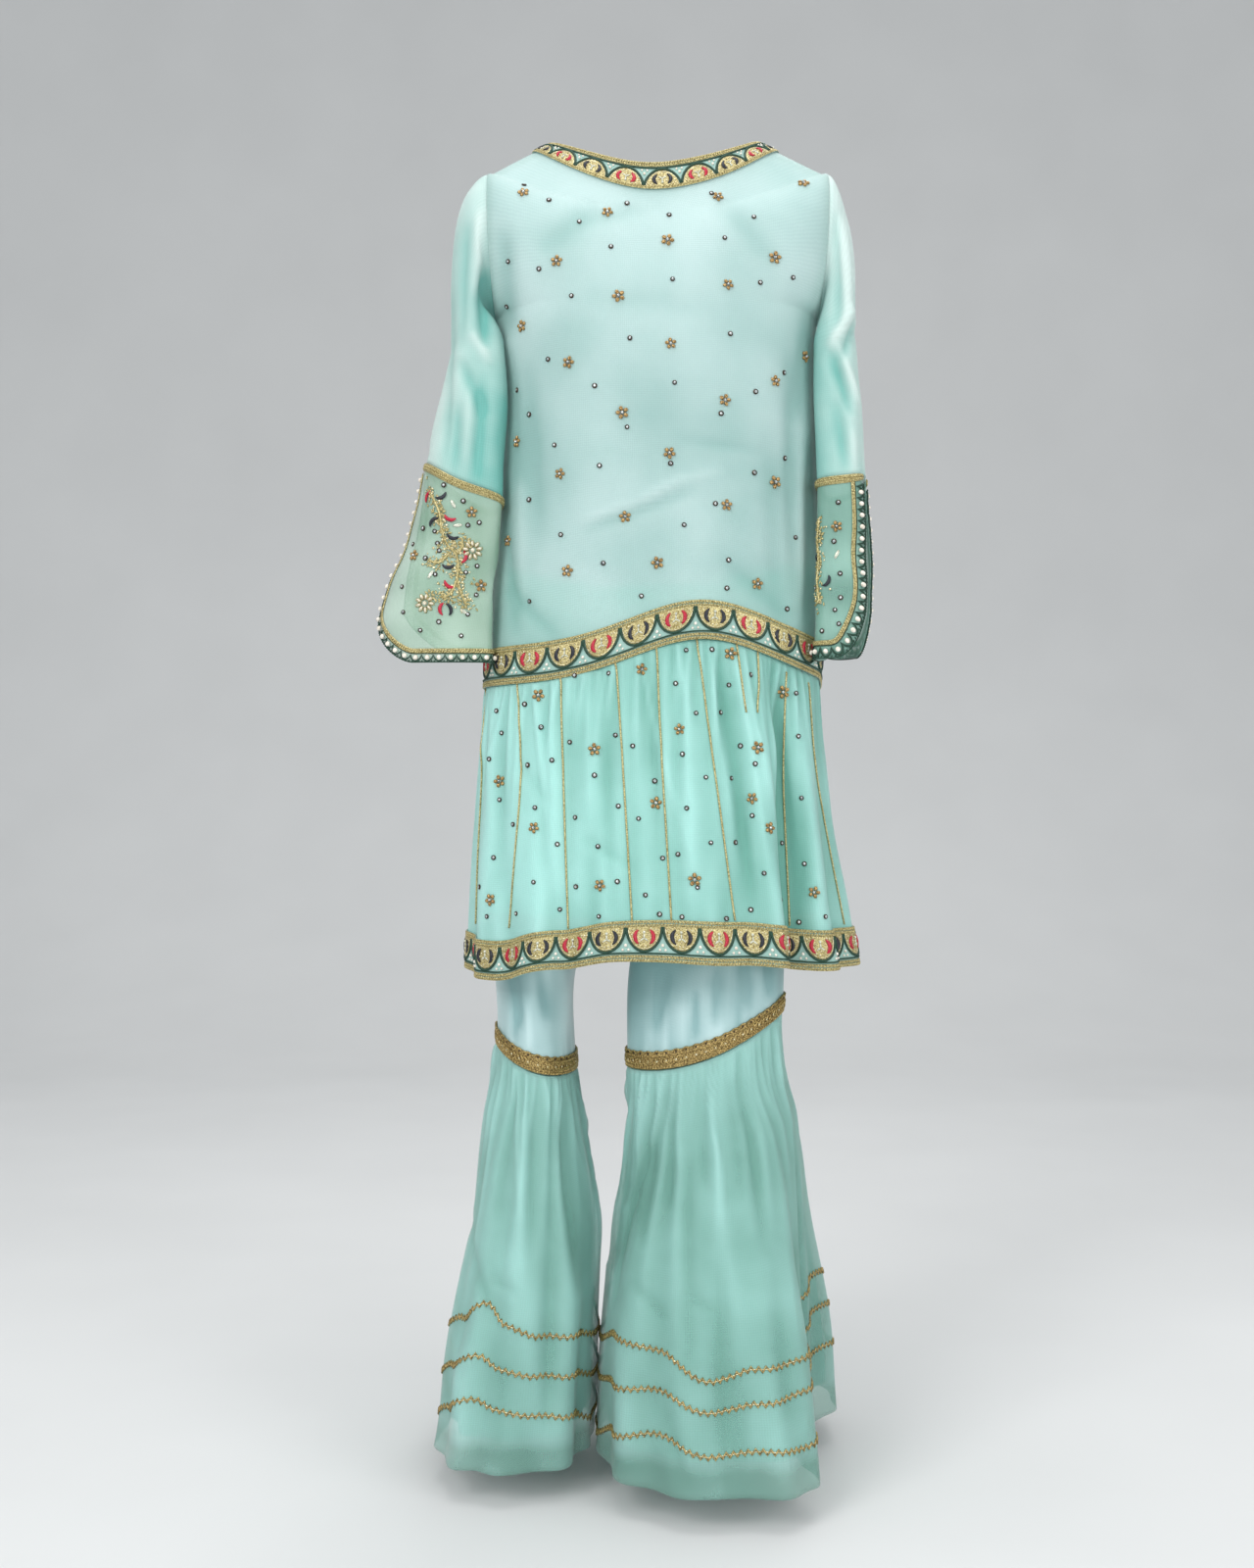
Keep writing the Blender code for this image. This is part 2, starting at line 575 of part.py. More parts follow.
LEG_COLUMNS = 14
FLARE_COLUMNS = 2 * LEG_COLUMNS
LEG_TOP_DROP = WAISTBAND_TOP + WAISTBAND_HEIGHT + SEAM_GAP
LEG_SHARES = (0.0, 0.16, 0.30, 0.40, 0.60, 0.80)
FLARE_SHARES = (0.0, 0.12, 0.36, 0.68, 1.0)
FLARE_LINING_SHARES = (0.0, 0.12, 0.36, 0.925)
FLARE_LINING_SLACK = (0.0040, 0.0100)


def waistband_point(angle, drop):
    """A point on the outer face of the waistband."""
    x = WAISTBAND_HALF_WIDTH * signed_power(cos(radians(angle)), 0.95)
    y = WAISTBAND_HALF_DEPTH * signed_power(sin(radians(angle)), 0.95)
    return Vector((x, y, -drop))


def leg_row(leg, share, rise=0.0):
    """A row of a trouser leg, a share of the way down to a line above the knee seam."""
    inner_side = 180.0 if leg == "right" else 0.0
    inner_drop = LEG_TOP_DROP + (knee_drop(leg, inner_side) - LEG_TOP_DROP) * share
    row = []
    for angle in spread(*inseam_angles(leg, inner_drop - rise), LEG_COLUMNS):
        seam = knee_drop(leg, angle) - rise - SEAM_GAP
        row.append(leg_point(leg, angle, LEG_TOP_DROP + (seam - LEG_TOP_DROP) * share))
    return row


def flare_row(leg, share, slack=0.0):
    """A row of a flare, a share of the way from the knee seam to its hem."""
    row = []
    for angle in whole_turn(FLARE_COLUMNS):
        seam = knee_drop(leg, angle) + KNEE_GAP
        row.append(leg_point(leg, angle, seam + (FLARE_HEM_DROP - seam) * share, slack))
    if share == 0:      # straight between the trouser leg's wider columns
        for c in range(1, FLARE_COLUMNS, 2):
            row[c] = (row[c - 1] + row[(c + 1) % FLARE_COLUMNS]) / 2
    return row


band = [[waistband_point(angle, drop) for angle in whole_turn(16)]
        for drop in (WAISTBAND_TOP, WAISTBAND_TOP + WAISTBAND_HEIGHT)]
make_cloth("waistband", band, SATIN, closed=True)

for leg in ("left", "right"):
    panel = [leg_row(leg, share) for share in LEG_SHARES]
    panel += [leg_row(leg, 1.0, LACE_HEIGHT), leg_row(leg, 1.0)]
    knee_row = len(panel) - 1
    make_cloth("trouser_" + leg, panel, SATIN)
    lay_trim("knee_lace_" + leg, panel, knee_row - 1, knee_row, BRAID)
    flare = [flare_row(leg, share) for share in FLARE_SHARES]
    make_cloth("flare_" + leg, flare, CHIFFON, closed=True)
    near, far = FLARE_LINING_SLACK
    lining = [flare_row(leg, share, near + (far - near) * share) for share in FLARE_LINING_SHARES]
    make_cloth("flare_lining_" + leg, lining, LINING, LINING_WALL, closed=True)
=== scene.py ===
from collections import namedtuple
from math import pi, radians

import bpy
import numpy as np
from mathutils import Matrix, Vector


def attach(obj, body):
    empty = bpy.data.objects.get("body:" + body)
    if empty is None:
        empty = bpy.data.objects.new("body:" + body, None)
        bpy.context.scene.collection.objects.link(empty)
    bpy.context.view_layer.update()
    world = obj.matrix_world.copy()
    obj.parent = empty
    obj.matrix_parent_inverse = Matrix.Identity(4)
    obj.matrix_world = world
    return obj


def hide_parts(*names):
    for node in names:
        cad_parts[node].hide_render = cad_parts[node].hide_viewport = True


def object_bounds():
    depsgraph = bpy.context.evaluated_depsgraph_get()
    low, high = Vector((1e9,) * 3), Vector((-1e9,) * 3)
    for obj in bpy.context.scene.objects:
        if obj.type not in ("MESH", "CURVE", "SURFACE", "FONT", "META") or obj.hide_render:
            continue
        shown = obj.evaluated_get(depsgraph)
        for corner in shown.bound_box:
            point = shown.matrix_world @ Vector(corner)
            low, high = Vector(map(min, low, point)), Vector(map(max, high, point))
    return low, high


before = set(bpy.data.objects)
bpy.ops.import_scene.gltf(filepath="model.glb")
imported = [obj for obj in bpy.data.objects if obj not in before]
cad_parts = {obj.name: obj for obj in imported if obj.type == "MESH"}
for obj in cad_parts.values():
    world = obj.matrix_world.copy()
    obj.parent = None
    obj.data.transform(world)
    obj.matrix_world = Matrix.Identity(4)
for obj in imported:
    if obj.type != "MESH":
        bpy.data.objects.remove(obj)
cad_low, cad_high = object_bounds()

# ---- Camera, floor and light ---------------------------------------------------------
# The suit hangs at the height of a dress form, a hand's breadth above the floor. It is seen
# level from the front, before a pale paper sweep and under large soft lamps.

CAMERA_PLACE = (-0.031, -2.0, -0.715)
CAMERA_LENS = 40.9
FLOOR_CLEARANCE = 0.035
SWEEP_WIDTH, SWEEP_DEPTH, SWEEP_HEIGHT, SWEEP_BEND = 16.0, 11.0, 6.0, 2.0
SWEEP_BACK = 4.6
BEND_STEPS = 16
ROOM_LIGHT = 0.62
LAMP_AIM = (0.0, 0.0, -0.7)


def linear(hex_colour):
    """Linear RGBA of an sRGB hex colour such as A9E4DC."""
    parts = [int(hex_colour[i:i + 2], 16) / 255 for i in (0, 2, 4)]
    return (*(c / 12.92 if c <= 0.04045 else ((c + 0.055) / 1.055) ** 2.4 for c in parts), 1.0)


def add_node(tree, kind, values=None, links=None, **settings):
    """Adds a shader node with its settings, its sockets' values and the links into them."""
    made = tree.nodes.new(kind)
    for name, value in settings.items():
        setattr(made, name, value)
    for socket, value in (values or {}).items():
        made.inputs[socket].default_value = value
    for socket, output in (links or {}).items():
        tree.links.new(output, made.inputs[socket])
    return made


def new_material(name, **sockets):
    """A material with a Principled shader whose constant sockets are set directly."""
    material = bpy.data.materials.new(name)
    material.use_nodes = True
    shader = material.node_tree.nodes["Principled BSDF"]
    for socket, value in sockets.items():
        shader.inputs[socket.replace("_", " ")].default_value = value
    return material, material.node_tree, shader


scene = bpy.context.scene
scene.view_settings.view_transform = "Standard"
camera = bpy.data.objects.new("camera", bpy.data.cameras.new("camera"))
scene.collection.objects.link(camera)
camera.location = CAMERA_PLACE
camera.rotation_euler = (pi / 2, 0, 0)
camera.data.lens = CAMERA_LENS
scene.camera = camera

bpy.ops.object.select_all(action="DESELECT")
floor_height = cad_low.z - FLOOR_CLEARANCE
bpy.ops.mesh.primitive_plane_add(size=1, location=(0, SWEEP_BACK - SWEEP_DEPTH / 2, floor_height))
sweep = bpy.context.object
sweep.name = "paper_sweep"
sweep.scale = (SWEEP_WIDTH, SWEEP_DEPTH, 1)
bpy.ops.object.transform_apply(location=True, rotation=True, scale=True)
bpy.ops.object.mode_set(mode="EDIT")
bpy.ops.mesh.select_all(action="DESELECT")
bpy.ops.object.mode_set(mode="OBJECT")
for edge in sweep.data.edges:
    edge.select = all(sweep.data.vertices[v].co.y > SWEEP_BACK - 0.01 for v in edge.vertices)
bpy.ops.object.mode_set(mode="EDIT")
bpy.ops.mesh.extrude_region_move(TRANSFORM_OT_translate={"value": (0, 0, SWEEP_HEIGHT)})
bpy.ops.object.mode_set(mode="OBJECT")
for edge in sweep.data.edges:
    places = [sweep.data.vertices[v].co for v in edge.vertices]
    edge.select = all(p.y > SWEEP_BACK - 0.01 and p.z < floor_height + 0.01 for p in places)
bpy.ops.object.mode_set(mode="EDIT")
bpy.ops.mesh.bevel(offset=SWEEP_BEND, segments=BEND_STEPS)
bpy.ops.object.mode_set(mode="OBJECT")
bpy.ops.object.shade_smooth()

# matte paper: pale grey, with a faint grain
paper, tree, shader = new_material("matte_sweep_paper", Roughness=0.9)
place = add_node(tree, "ShaderNodeTexCoord")
grain = add_node(tree, "ShaderNodeTexNoise", {"Scale": 3.0, "Detail": 2.0},
                 {"Vector": place.outputs["Object"]})
tone = add_node(tree, "ShaderNodeMix", {"A": linear("D3D4D4"), "B": linear("DBDCDC")},
                {"Factor": grain.outputs["Fac"]}, data_type="RGBA")
tree.links.new(tone.outputs["Result"], shader.inputs["Base Color"])
sweep.data.materials.append(paper)

world = bpy.data.worlds.new("soft_room")
world.use_nodes = True
world.node_tree.nodes["Background"].inputs["Color"].default_value = linear("F2F5F7")
world.node_tree.nodes["Background"].inputs["Strength"].default_value = ROOM_LIGHT
scene.world = world

Lamp = namedtuple("Lamp", "name place width power")
LAMPS = (
    Lamp("key_softbox", (-1.9, -2.6, 1.1), 1.6, 62),
    Lamp("fill_softbox", (2.3, -2.2, 0.2), 1.8, 34),
    Lamp("low_fill", (0.3, -2.9, -1.0), 1.4, 14),
    Lamp("top_softbox", (0.0, -0.2, 1.7), 1.6, 26),
    Lamp("back_softbox", (0.7, 2.1, 2.1), 1.8, 26),
)
for lamp in LAMPS:
    light = bpy.data.lights.new(lamp.name, "AREA")
    light.size = lamp.width
    light.energy = lamp.power
    holder = bpy.data.objects.new(lamp.name, light)
    scene.collection.objects.link(holder)
    holder.location = lamp.place
    aim = Vector(LAMP_AIM) - holder.location
    holder.rotation_euler = aim.to_track_quat("-Z", "Y").to_euler()

# ---- Kameez bodice ---------------------------------------------------------------------
# A straight front and back of sheer aqua crepe chiffon, joined at the shoulders and sides.
# The waist seam arches up at the front. Both are cut to hang close over a plain lining.

CLOTH_WALL = 0.0008
SEAM_GAP = 0.0003
ARMHOLE_GAP = 0.0012
NECK_HALF_WIDTH = 0.118
SHOULDER_DROP = 0.034
SHOULDER_X = {"left": 0.186, "right": 0.192}
UNDERARM_DROP = 0.200
ARMHOLE_DEPTH = 0.066
ARMHOLE_SQUARENESS = 0.8
WAIST_ARCH = 0.046
WAIST_ARCH_X = 0.050
WAIST_ARCH_SPREAD = 0.105
ARCH_TOP_PLACE = 0.7
ARCH_FADE_PLACES = 0.6
ARCH_EDGE_FADE = 0.25
SIDE_SIGN = {"left": -1, "right": 1}


def table(columns, *rows):
    """Rows with named columns. They are given in millimetres, apart from starred columns."""
    kind = namedtuple("Row", columns.replace("*", ""))
    units = [1 if "*" in column else 1000 for column in columns.split()]
    return [kind(*(value / unit for value, unit in zip(row, units))) for row in rows]


# Lines across the bodice. place: 0 waist seam, 1 underarm, 2 shoulder point, 3 neckline.
BODICE_LINES = table(
    "place* left right front front_drop back back_drop round*",
    (0, 190, 184, 134, 609, 110, 609, 0.86),
    (0.1, 188, 186, 133, 568, 106, 568, 0.86),
    (0.3, 181, 187, 130, 487, 98, 487, 0.86),
    (0.55, 173, 183, 128, 385, 94, 385, 0.86),
    (0.8, 170, 179, 132, 281, 99, 281, 0.87),
    (1, 177, 181, 125, 200, 104, 200, 0.9),
    (1.5, 183, 188, 109, 138, 105, 130, 1.15),
    (2, 186, 192, 93, 100, 94, 77, 1.15),
    (2.725, 137, 137, 82, 74, 73, 43, 1),
    (3, 118, 118, 70, 41, 60, 13, 1),
)


def smooth(rows, key, column, at):
    """Values of a named column at places between rows, on a curve through the rows."""
    places = np.array([getattr(row, key) for row in rows])
    values = np.array([getattr(row, column) for row in rows])
    at = np.clip(at, places[0], places[-1])
    first = np.clip(np.searchsorted(places, at, side="right") - 1, 0, len(rows) - 2)
    low = np.maximum(np.arange(len(rows)) - 1, 0)
    high = np.minimum(np.arange(len(rows)) + 1, len(rows) - 1)
    slopes = (values[high] - values[low]) / (places[high] - places[low])
    step = places[first + 1] - places[first]
    share = (at - places[first]) / step
    rise = values[first + 1] - values[first]
    bend_in = share * (1 - share) ** 2 * (slopes[first] * step - rise)
    bend_out = share ** 2 * (1 - share) * (rise - slopes[first + 1] * step)
    return values[first] + rise * share + bend_in + bend_out


def around(rows, column, angle):
    """Values of a named column at angles, eased from row to row round a closed ring."""
    turn = np.mod(angle, 360.0)
    angles = np.array([row.angle for row in rows])
    values = np.array([getattr(row, column) for row in rows])
    high = np.searchsorted(angles, turn, side="right") % len(rows)
    low = high - 1
    width = np.mod(angles[high] - angles[low], 360.0)
    share = np.mod(turn - angles[low], 360.0) / width
    ease = 0.5 - 0.5 * np.cos(pi * share)
    return values[low] * (1 - ease) + values[high] * ease


def cos_deg(angle):
    """The cosine of an angle in degrees."""
    return np.cos(np.radians(angle))


def sin_deg(angle):
    """The sine of an angle in degrees."""
    return np.sin(np.radians(angle))


def signed_power(value, power):
    """A power that keeps the sign, for rounded-square rings."""
    return np.sign(value) * np.abs(value) ** power


def points_of(x, y, z):
    """Points as one array, with the coordinates last."""
    return np.stack(np.broadcast_arrays(x, y, z), axis=-1)


def armhole_point(side, angle):
    """Points of the armhole: its shoulder is away from the body, its underarm towards it."""
    upward = 0.5 + 0.5 * cos_deg(angle) * SIDE_SIGN[side]
    underarm_x = smooth(BODICE_LINES, "place", side, 1.0)
    x = underarm_x + (SHOULDER_X[side] - underarm_x) * upward ** ARMHOLE_SQUARENESS
    drop = UNDERARM_DROP + (SHOULDER_DROP - UNDERARM_DROP) * upward
    return points_of(SIDE_SIGN[side] * x, ARMHOLE_DEPTH * sin_deg(angle), -drop)


def bodice_edge(side, is_front, place):
    """Points of the side seam, then the armhole, then the shoulder seam."""
    sign = SIDE_SIGN[side]
    drop = smooth(BODICE_LINES, "place", "front_drop", place)
    seam = points_of(sign * smooth(BODICE_LINES, "place", side, place), 0.0, -drop)
    underarm = 180.0 if side == "right" else 0.0
    turns_up = 1 if is_front == (side == "right") else -1
    hole = armhole_point(side, underarm + turns_up * 180.0 * np.clip(place - 1, 0, 1))
    shoulder = armhole_point(side, 0.0 if side == "right" else 180.0)
    neck = np.array((sign * NECK_HALF_WIDTH, 0.0, 0.0))
    top = shoulder + (neck - shoulder) * np.clip(place - 2, 0, 1)[..., None]
    place = np.asarray(place)[..., None]
    return np.where(place <= 1, seam, np.where(place < 2, hole, top))


def waist_lift(x):
    """How far the waist seam arches up at a distance from the middle of the front."""
    return WAIST_ARCH * np.exp(-((x - WAIST_ARCH_X) / WAIST_ARCH_SPREAD) ** 2)


def bodice_point(angle, place):
    """Points on the outer face of the bodice's front or back, by angle and place."""
    angle, place = np.broadcast_arrays(angle, place)
    across, through = cos_deg(angle), sin_deg(angle)
    is_front = bool(through.mean() < 0)
    middle = "front" if is_front else "back"
    edge = np.where((across >= 0)[..., None], bodice_edge("right", is_front, place),
                    bodice_edge("left", is_front, place))
    roundness = smooth(BODICE_LINES, "place", "round", place)
    reach = smooth(BODICE_LINES, "place", middle, place) * (-1 if is_front else 1)
    drop = smooth(BODICE_LINES, "place", middle + "_drop", place)
    x = edge[..., 0] * np.abs(across) ** np.minimum(roundness, 1.0)
    y = edge[..., 1] + (reach - edge[..., 1]) * np.abs(through) ** roundness
    z = edge[..., 2] + (-drop - edge[..., 2]) * through ** 2
    if is_front:
        arch = waist_lift(x) * np.minimum(1.0, np.abs(through) / ARCH_EDGE_FADE)
        z = z + arch * np.clip((ARCH_TOP_PLACE - place) / ARCH_FADE_PLACES, 0, 1)
    return points_of(x, y, z)


def outward(points, closed=False):
    """Outward directions over a grid of points whose rows run down and columns run along."""
    if closed:
        along = np.roll(points, -1, axis=1) - np.roll(points, 1, axis=1)
    else:
        along = np.gradient(points, axis=1)
    facing = np.cross(np.gradient(points, axis=0), along)
    return facing / np.maximum(np.linalg.norm(facing, axis=-1, keepdims=True), 1e-12)


def moved_out(points, lift, closed=False):
    """The same grid, moved out from the cloth by a lift, which may vary over it."""
    return points + outward(points, closed) * np.asarray(lift)[..., None]


def run_of(line):
    """Lengths along a line of points, from its first one."""
    return np.concatenate(((0.0,), np.cumsum(np.linalg.norm(np.diff(line, axis=0), axis=1))))


def lengths(points, axis, closed=False):
    """Lengths along the middle line of a grid, from its first row or column."""
    line = np.take(points, points.shape[1 - axis] // 2, axis=1 - axis)
    if closed and axis == 1:
        line = np.concatenate((line, line[:1]))
    return run_of(line)


def make_cloth(name, points, material, closed=False, wall=CLOTH_WALL, tone=0.0):
    """A thin closed wall of cloth on a grid of outer points, with its flat size as UVs in metres.

    The tone runs from -1 on the palest ridges to 1 where folds deepen the colour; on folded cloths this
    is painted light on the ridges and painted shade in the folds.
    """
    rows, columns = points.shape[:2]
    index = np.arange(rows * columns).reshape(rows, columns)
    following = np.roll(index, -1, axis=1) if closed else index[:, 1:]
    here = index if closed else index[:, :-1]
    faces = np.stack((here[:-1], here[1:], following[1:], following[:-1]), axis=-1).reshape(-1, 4)
    mesh = bpy.data.meshes.new(name)
    mesh.from_pydata(points.reshape(-1, 3).tolist(), [], faces.tolist())
    across, down = lengths(points, 1, closed), lengths(points, 0)
    spans = here.shape[1]
    u = np.stack((across[:spans], across[:spans], across[1:spans + 1], across[1:spans + 1]), -1)
    v = np.stack((down[:-1], down[1:], down[1:], down[:-1]), -1)
    flat = np.stack((np.broadcast_to(u[None], (rows - 1, spans, 4)),
                     -np.broadcast_to(v[:, None], (rows - 1, spans, 4))), axis=-1)
    mesh.uv_layers.new(name="flat_cloth").data.foreach_set("uv", flat.ravel())
    # the tone, kept on the points for the shader; on folded cloths it is painted light and painted
    # shade
    tones = np.broadcast_to(tone, (rows, columns)).astype(np.float32)
    mesh.attributes.new("tone_and_painted_shade", "FLOAT", "POINT").data.foreach_set("value", tones.ravel())
    mesh.shade_smooth()
    mesh.materials.append(material)
    piece = bpy.data.objects.new(name, mesh)
    scene.collection.objects.link(piece)
    bpy.ops.object.select_all(action="DESELECT")
    bpy.context.view_layer.objects.active = piece
    piece.select_set(True)
    thickness = piece.modifiers.new("wall", "SOLIDIFY")
    thickness.thickness = wall
    thickness.offset = -1.0
    bpy.ops.object.modifier_apply(modifier=thickness.name)
    return piece


def end_fade(count, steepness):
    """Shares over a row that fade to 0 at both ends."""
    rise = np.minimum(1, np.linspace(0, steepness, count))
    return np.minimum(rise, rise[::-1])


def own_piece(piece, slot, *nodes):
    """The piece rides on the suit's one body and stands for its CAD nodes; its slot, a finish's name,
    is not used.
    """
    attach(piece, "root")
    if nodes:
        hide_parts(*nodes)
    return piece


def wander(u, v, size, seed):
    """A smooth uneven field from -1 to 1 over a cloth, with soft swells of about a size."""
    rng = np.random.default_rng(seed)
    field = 0.0
    for step in range(5):
        turn, shift = rng.uniform(0, pi), rng.uniform(0, 2 * pi)
        wave = size * rng.uniform(0.7, 1.6)
        field = field + np.sin(2 * pi * (u * np.cos(turn) + v * np.sin(turn)) / wave + shift)
    return field / 3.0


# a trough (+ depth) or a ridge (- depth) from one place to another, seen from the front
CREASE = "x drop to_x to_drop width depth"


def creased(points, creases):
    """Soft troughs (+ depth) and ridges (- depth) between two places as seen from the front."""
    relief = np.zeros(points.shape[:2])
    for crease in creases:
        start = np.array((crease.x, crease.drop))
        run = np.array((crease.to_x, crease.to_drop)) - start
        offset = np.stack((points[..., 0], -points[..., 2]), -1) - start
        share = (offset @ run) / (run @ run)
        away = np.linalg.norm(offset - np.clip(share, 0, 1)[..., None] * run, axis=-1)
        fade = np.clip(1 - np.abs(2 * share - 1) ** 3, 0, 1)
        relief -= crease.depth * np.exp(-(away / crease.width) ** 2) * fade
    return relief


WAVE_SPACING = 0.314  # metres between the bands of a wave texture at a scale of 1
CLOUD_SCALE = 9.0


def woven_cloth(name, light, deep_and_shaded, alpha=1.0, roughness=0.6, sheen=0.25, thread=0.0022,
                crinkle=0.00025, contrast=0.10):
    """A plain weave in two close tones, with thread lines on the cloth's own UVs; the tone attribute
    mixes in painted light and painted shade.

    The threads are drawn several times coarser than real ones, so that they show.
    """
    material, tree, shader = new_material(
        name, Roughness=roughness, Alpha=alpha, Sheen_Weight=sheen, Sheen_Roughness=0.4)
    place = add_node(tree, "ShaderNodeTexCoord")
    flat = add_node(tree, "ShaderNodeUVMap", uv_map="flat_cloth")
    cloud = add_node(tree, "ShaderNodeTexNoise", {"Scale": CLOUD_SCALE, "Detail": 3.0},
                     {"Vector": place.outputs["Object"]})
    waves = []
    for direction in ("X", "Y"):
        waves.append(add_node(
            tree, "ShaderNodeTexWave",
            {"Scale": WAVE_SPACING / thread, "Distortion": 2.5, "Detail": 1.0},
            {"Vector": flat.outputs["UV"]}, wave_type="BANDS", bands_direction=direction))
    threads = add_node(tree, "ShaderNodeMath", None,
                       {0: waves[0].outputs["Fac"], 1: waves[1].outputs["Fac"]}, operation="ADD")
    slub = add_node(tree, "ShaderNodeTexNoise", {"Scale": 0.8 / thread, "Detail": 2.0},
                    {"Vector": flat.outputs["UV"]})
    relief = add_node(tree, "ShaderNodeMath", None,
                      {0: threads.outputs[0], 1: slub.outputs["Fac"]}, operation="ADD")
    # painted light and painted shade of the folds, from the tone attribute, added to a random cloud
    fold = add_node(tree, "ShaderNodeAttribute", attribute_name="tone_and_painted_shade")
    depth = add_node(tree, "ShaderNodeMath", {1: 0.5},
                     {0: fold.outputs["Fac"], 2: cloud.outputs["Fac"]},
                     operation="MULTIPLY_ADD", use_clamp=True)
    tone = add_node(tree, "ShaderNodeMix", {"A": linear(light), "B": linear(deep_and_shaded)},
                    {"Factor": depth.outputs[0]}, data_type="RGBA")
    shade = add_node(tree, "ShaderNodeMapRange", {"From Min": 0.3, "From Max": 2.4,
                                                  "To Min": 1.0 - contrast, "To Max": 1.0},
                     {"Value": relief.outputs[0]})
    woven = add_node(tree, "ShaderNodeVectorMath", None,
                     {0: tone.outputs["Result"], 1: shade.outputs["Result"]}, operation="MULTIPLY")
    tree.links.new(woven.outputs[0], shader.inputs["Base Color"])
    bump = add_node(tree, "ShaderNodeBump", {"Strength": 0.5, "Distance": crinkle},
                    {"Height": relief.outputs[0]})
    tree.links.new(bump.outputs["Normal"], shader.inputs["Normal"])
    return material


# crepe chiffon: high-twist polyester woven open, so it is sheer, matt and slightly grainy
chiffon = woven_cloth("crepe_chiffon_woven", "C0F4ED", "79B7A8", alpha=0.55, roughness=0.70)
# the same chiffon where it lies on the pale slip, which greys it
bodice_chiffon = woven_cloth("crepe_chiffon_woven_over_slip", "D0EAE6", "9AC6BE", alpha=0.52,
                             roughness=0.62)

SIDE_ANGLE = 0.04
SEAM_SHIFT = 0.0004
HALVES = {"front": (180 + SIDE_ANGLE, 360 - SIDE_ANGLE), "back": (SIDE_ANGLE, 180 - SIDE_ANGLE)}
NECK_BORDER_PLACE = 2.725
WAIST_BORDER_PLACE = 0.10
NECK_BORDER_ROWS, WAIST_BORDER_ROWS = 9, 11
BODICE_MID_WIDTH = 0.175
BODICE_SWELL = 0.0016
# painted shade: creases deepen the tone, and so do the sides; the tone is paler above the yoke line
BODICE_CREASE_SHADE = 0.0034  # the depth of crease that deepens the tone by one
SIDE_SHADE, YOKE_PALENESS = 0.2, 0.5
YOKE_END_DROP, YOKE_BLEND = 0.24, 0.08
BODICE_COLUMNS = {"front": 88, "back": 60}
BODICE_PLACES = np.concatenate((
    np.linspace(3.0, NECK_BORDER_PLACE, NECK_BORDER_ROWS), np.linspace(NECK_BORDER_PLACE, 2.0, 11)[1:],
    np.linspace(2.0, 1.0, 31)[1:], np.linspace(1.0, WAIST_BORDER_PLACE, 62)[1:],
    np.linspace(WAIST_BORDER_PLACE, 0.0, WAIST_BORDER_ROWS)[1:],
))
# faint pulls across the bust, soft hollows by the armholes and slack at the sides
BODICE_CREASES = {
    "front": table(
        CREASE,
        (-85, 438, -10, 416, 5, -1.8), (-20, 420, 30, 391, 5, -2.4),
        (20, 396, 74, 384, 5, -1.6), (-80, 450, 45, 404, 6, 2.4),
        (20, 352, 120, 362, 6, 1.3), (-166, 110, -158, 235, 12, 5),
        (-163, 230, -146, 400, 8, 3.4), (-140, 250, -125, 470, 10, 2.4),
        (-167, 380, -150, 560, 7, 3.4), (-152, 300, -140, 520, 5, -1.6),
        (168, 190, 152, 330, 10, 4), (142, 240, 150, 520, 9, 3.4),
        (172, 330, 164, 560, 7, 3.6), (120, 330, 132, 560, 11, 2.2),
        (156, 300, 158, 540, 5, -1.6), (-60, 90, -125, 150, 14, 2.6),
        (-10, 98, -90, 118, 10, 1.8), (70, 88, 130, 165, 13, 2.2),
        (-80, 200, 70, 214, 16, 1.4), (-166, 500, -100, 566, 8, 2.2),
        (60, 470, 150, 545, 10, 1.8),
    ),
    "back": table(
        CREASE,
        (-90, 110, -140, 235, 11, 2), (95, 115, 150, 220, 10, 2.2),
        (-160, 260, -110, 420, 10, 2), (60, 330, 165, 270, 9, 1.8),
        (-30, 400, 80, 440, 11, 1.5), (160, 380, 120, 540, 10, 1.8),
    ),
}


def half_grid(half, point_at, levels, columns):
    """A grid of points over the front or the back, set off from the side seams."""
    angles = np.linspace(*HALVES[half], columns + 1)
    points = point_at(angles[None, :], np.asarray(levels)[:, None])
    points[..., 1] += -SEAM_SHIFT if half == "front" else SEAM_SHIFT
    return points


bodice_panels, bodice_cloths = {}, {}
for half in HALVES:
    base = half_grid(half, bodice_point, BODICE_PLACES, BODICE_COLUMNS[half])
    folds = creased(base, BODICE_CREASES[half])
    swell = wander(base[..., 0], base[..., 2] * 0.6, 0.11, 5 if half == "front" else 6)
    bodice_panels[half] = moved_out(base, (folds + BODICE_SWELL * swell) * end_fade(base.shape[1], 10))
    # painted shade towards the sides and in the creases, painted light on the swells, and paler above
    # the yoke line
    sideways = np.abs(base[..., 0] / BODICE_MID_WIDTH) ** 3
    yoke = np.clip((YOKE_END_DROP + base[..., 2]) / YOKE_BLEND, 0, 1)
    tone = (SIDE_SHADE * sideways - folds / BODICE_CREASE_SHADE - 0.35 * swell
            - YOKE_PALENESS * yoke)
    piece = make_cloth("bodice_" + half + "_chiffon", bodice_panels[half], bodice_chiffon, tone=tone)
    bodice_cloths[half] = own_piece(piece, "aqua_chiffon", "bodice_" + half)

# ---- Lining of the kameez ----------------------------------------------------------------
# A plain sleeveless slip of pale crepe, caught in the neck and shoulder seams. It hangs free
# inside the bodice and skirt, and its hem shows through them above the border.

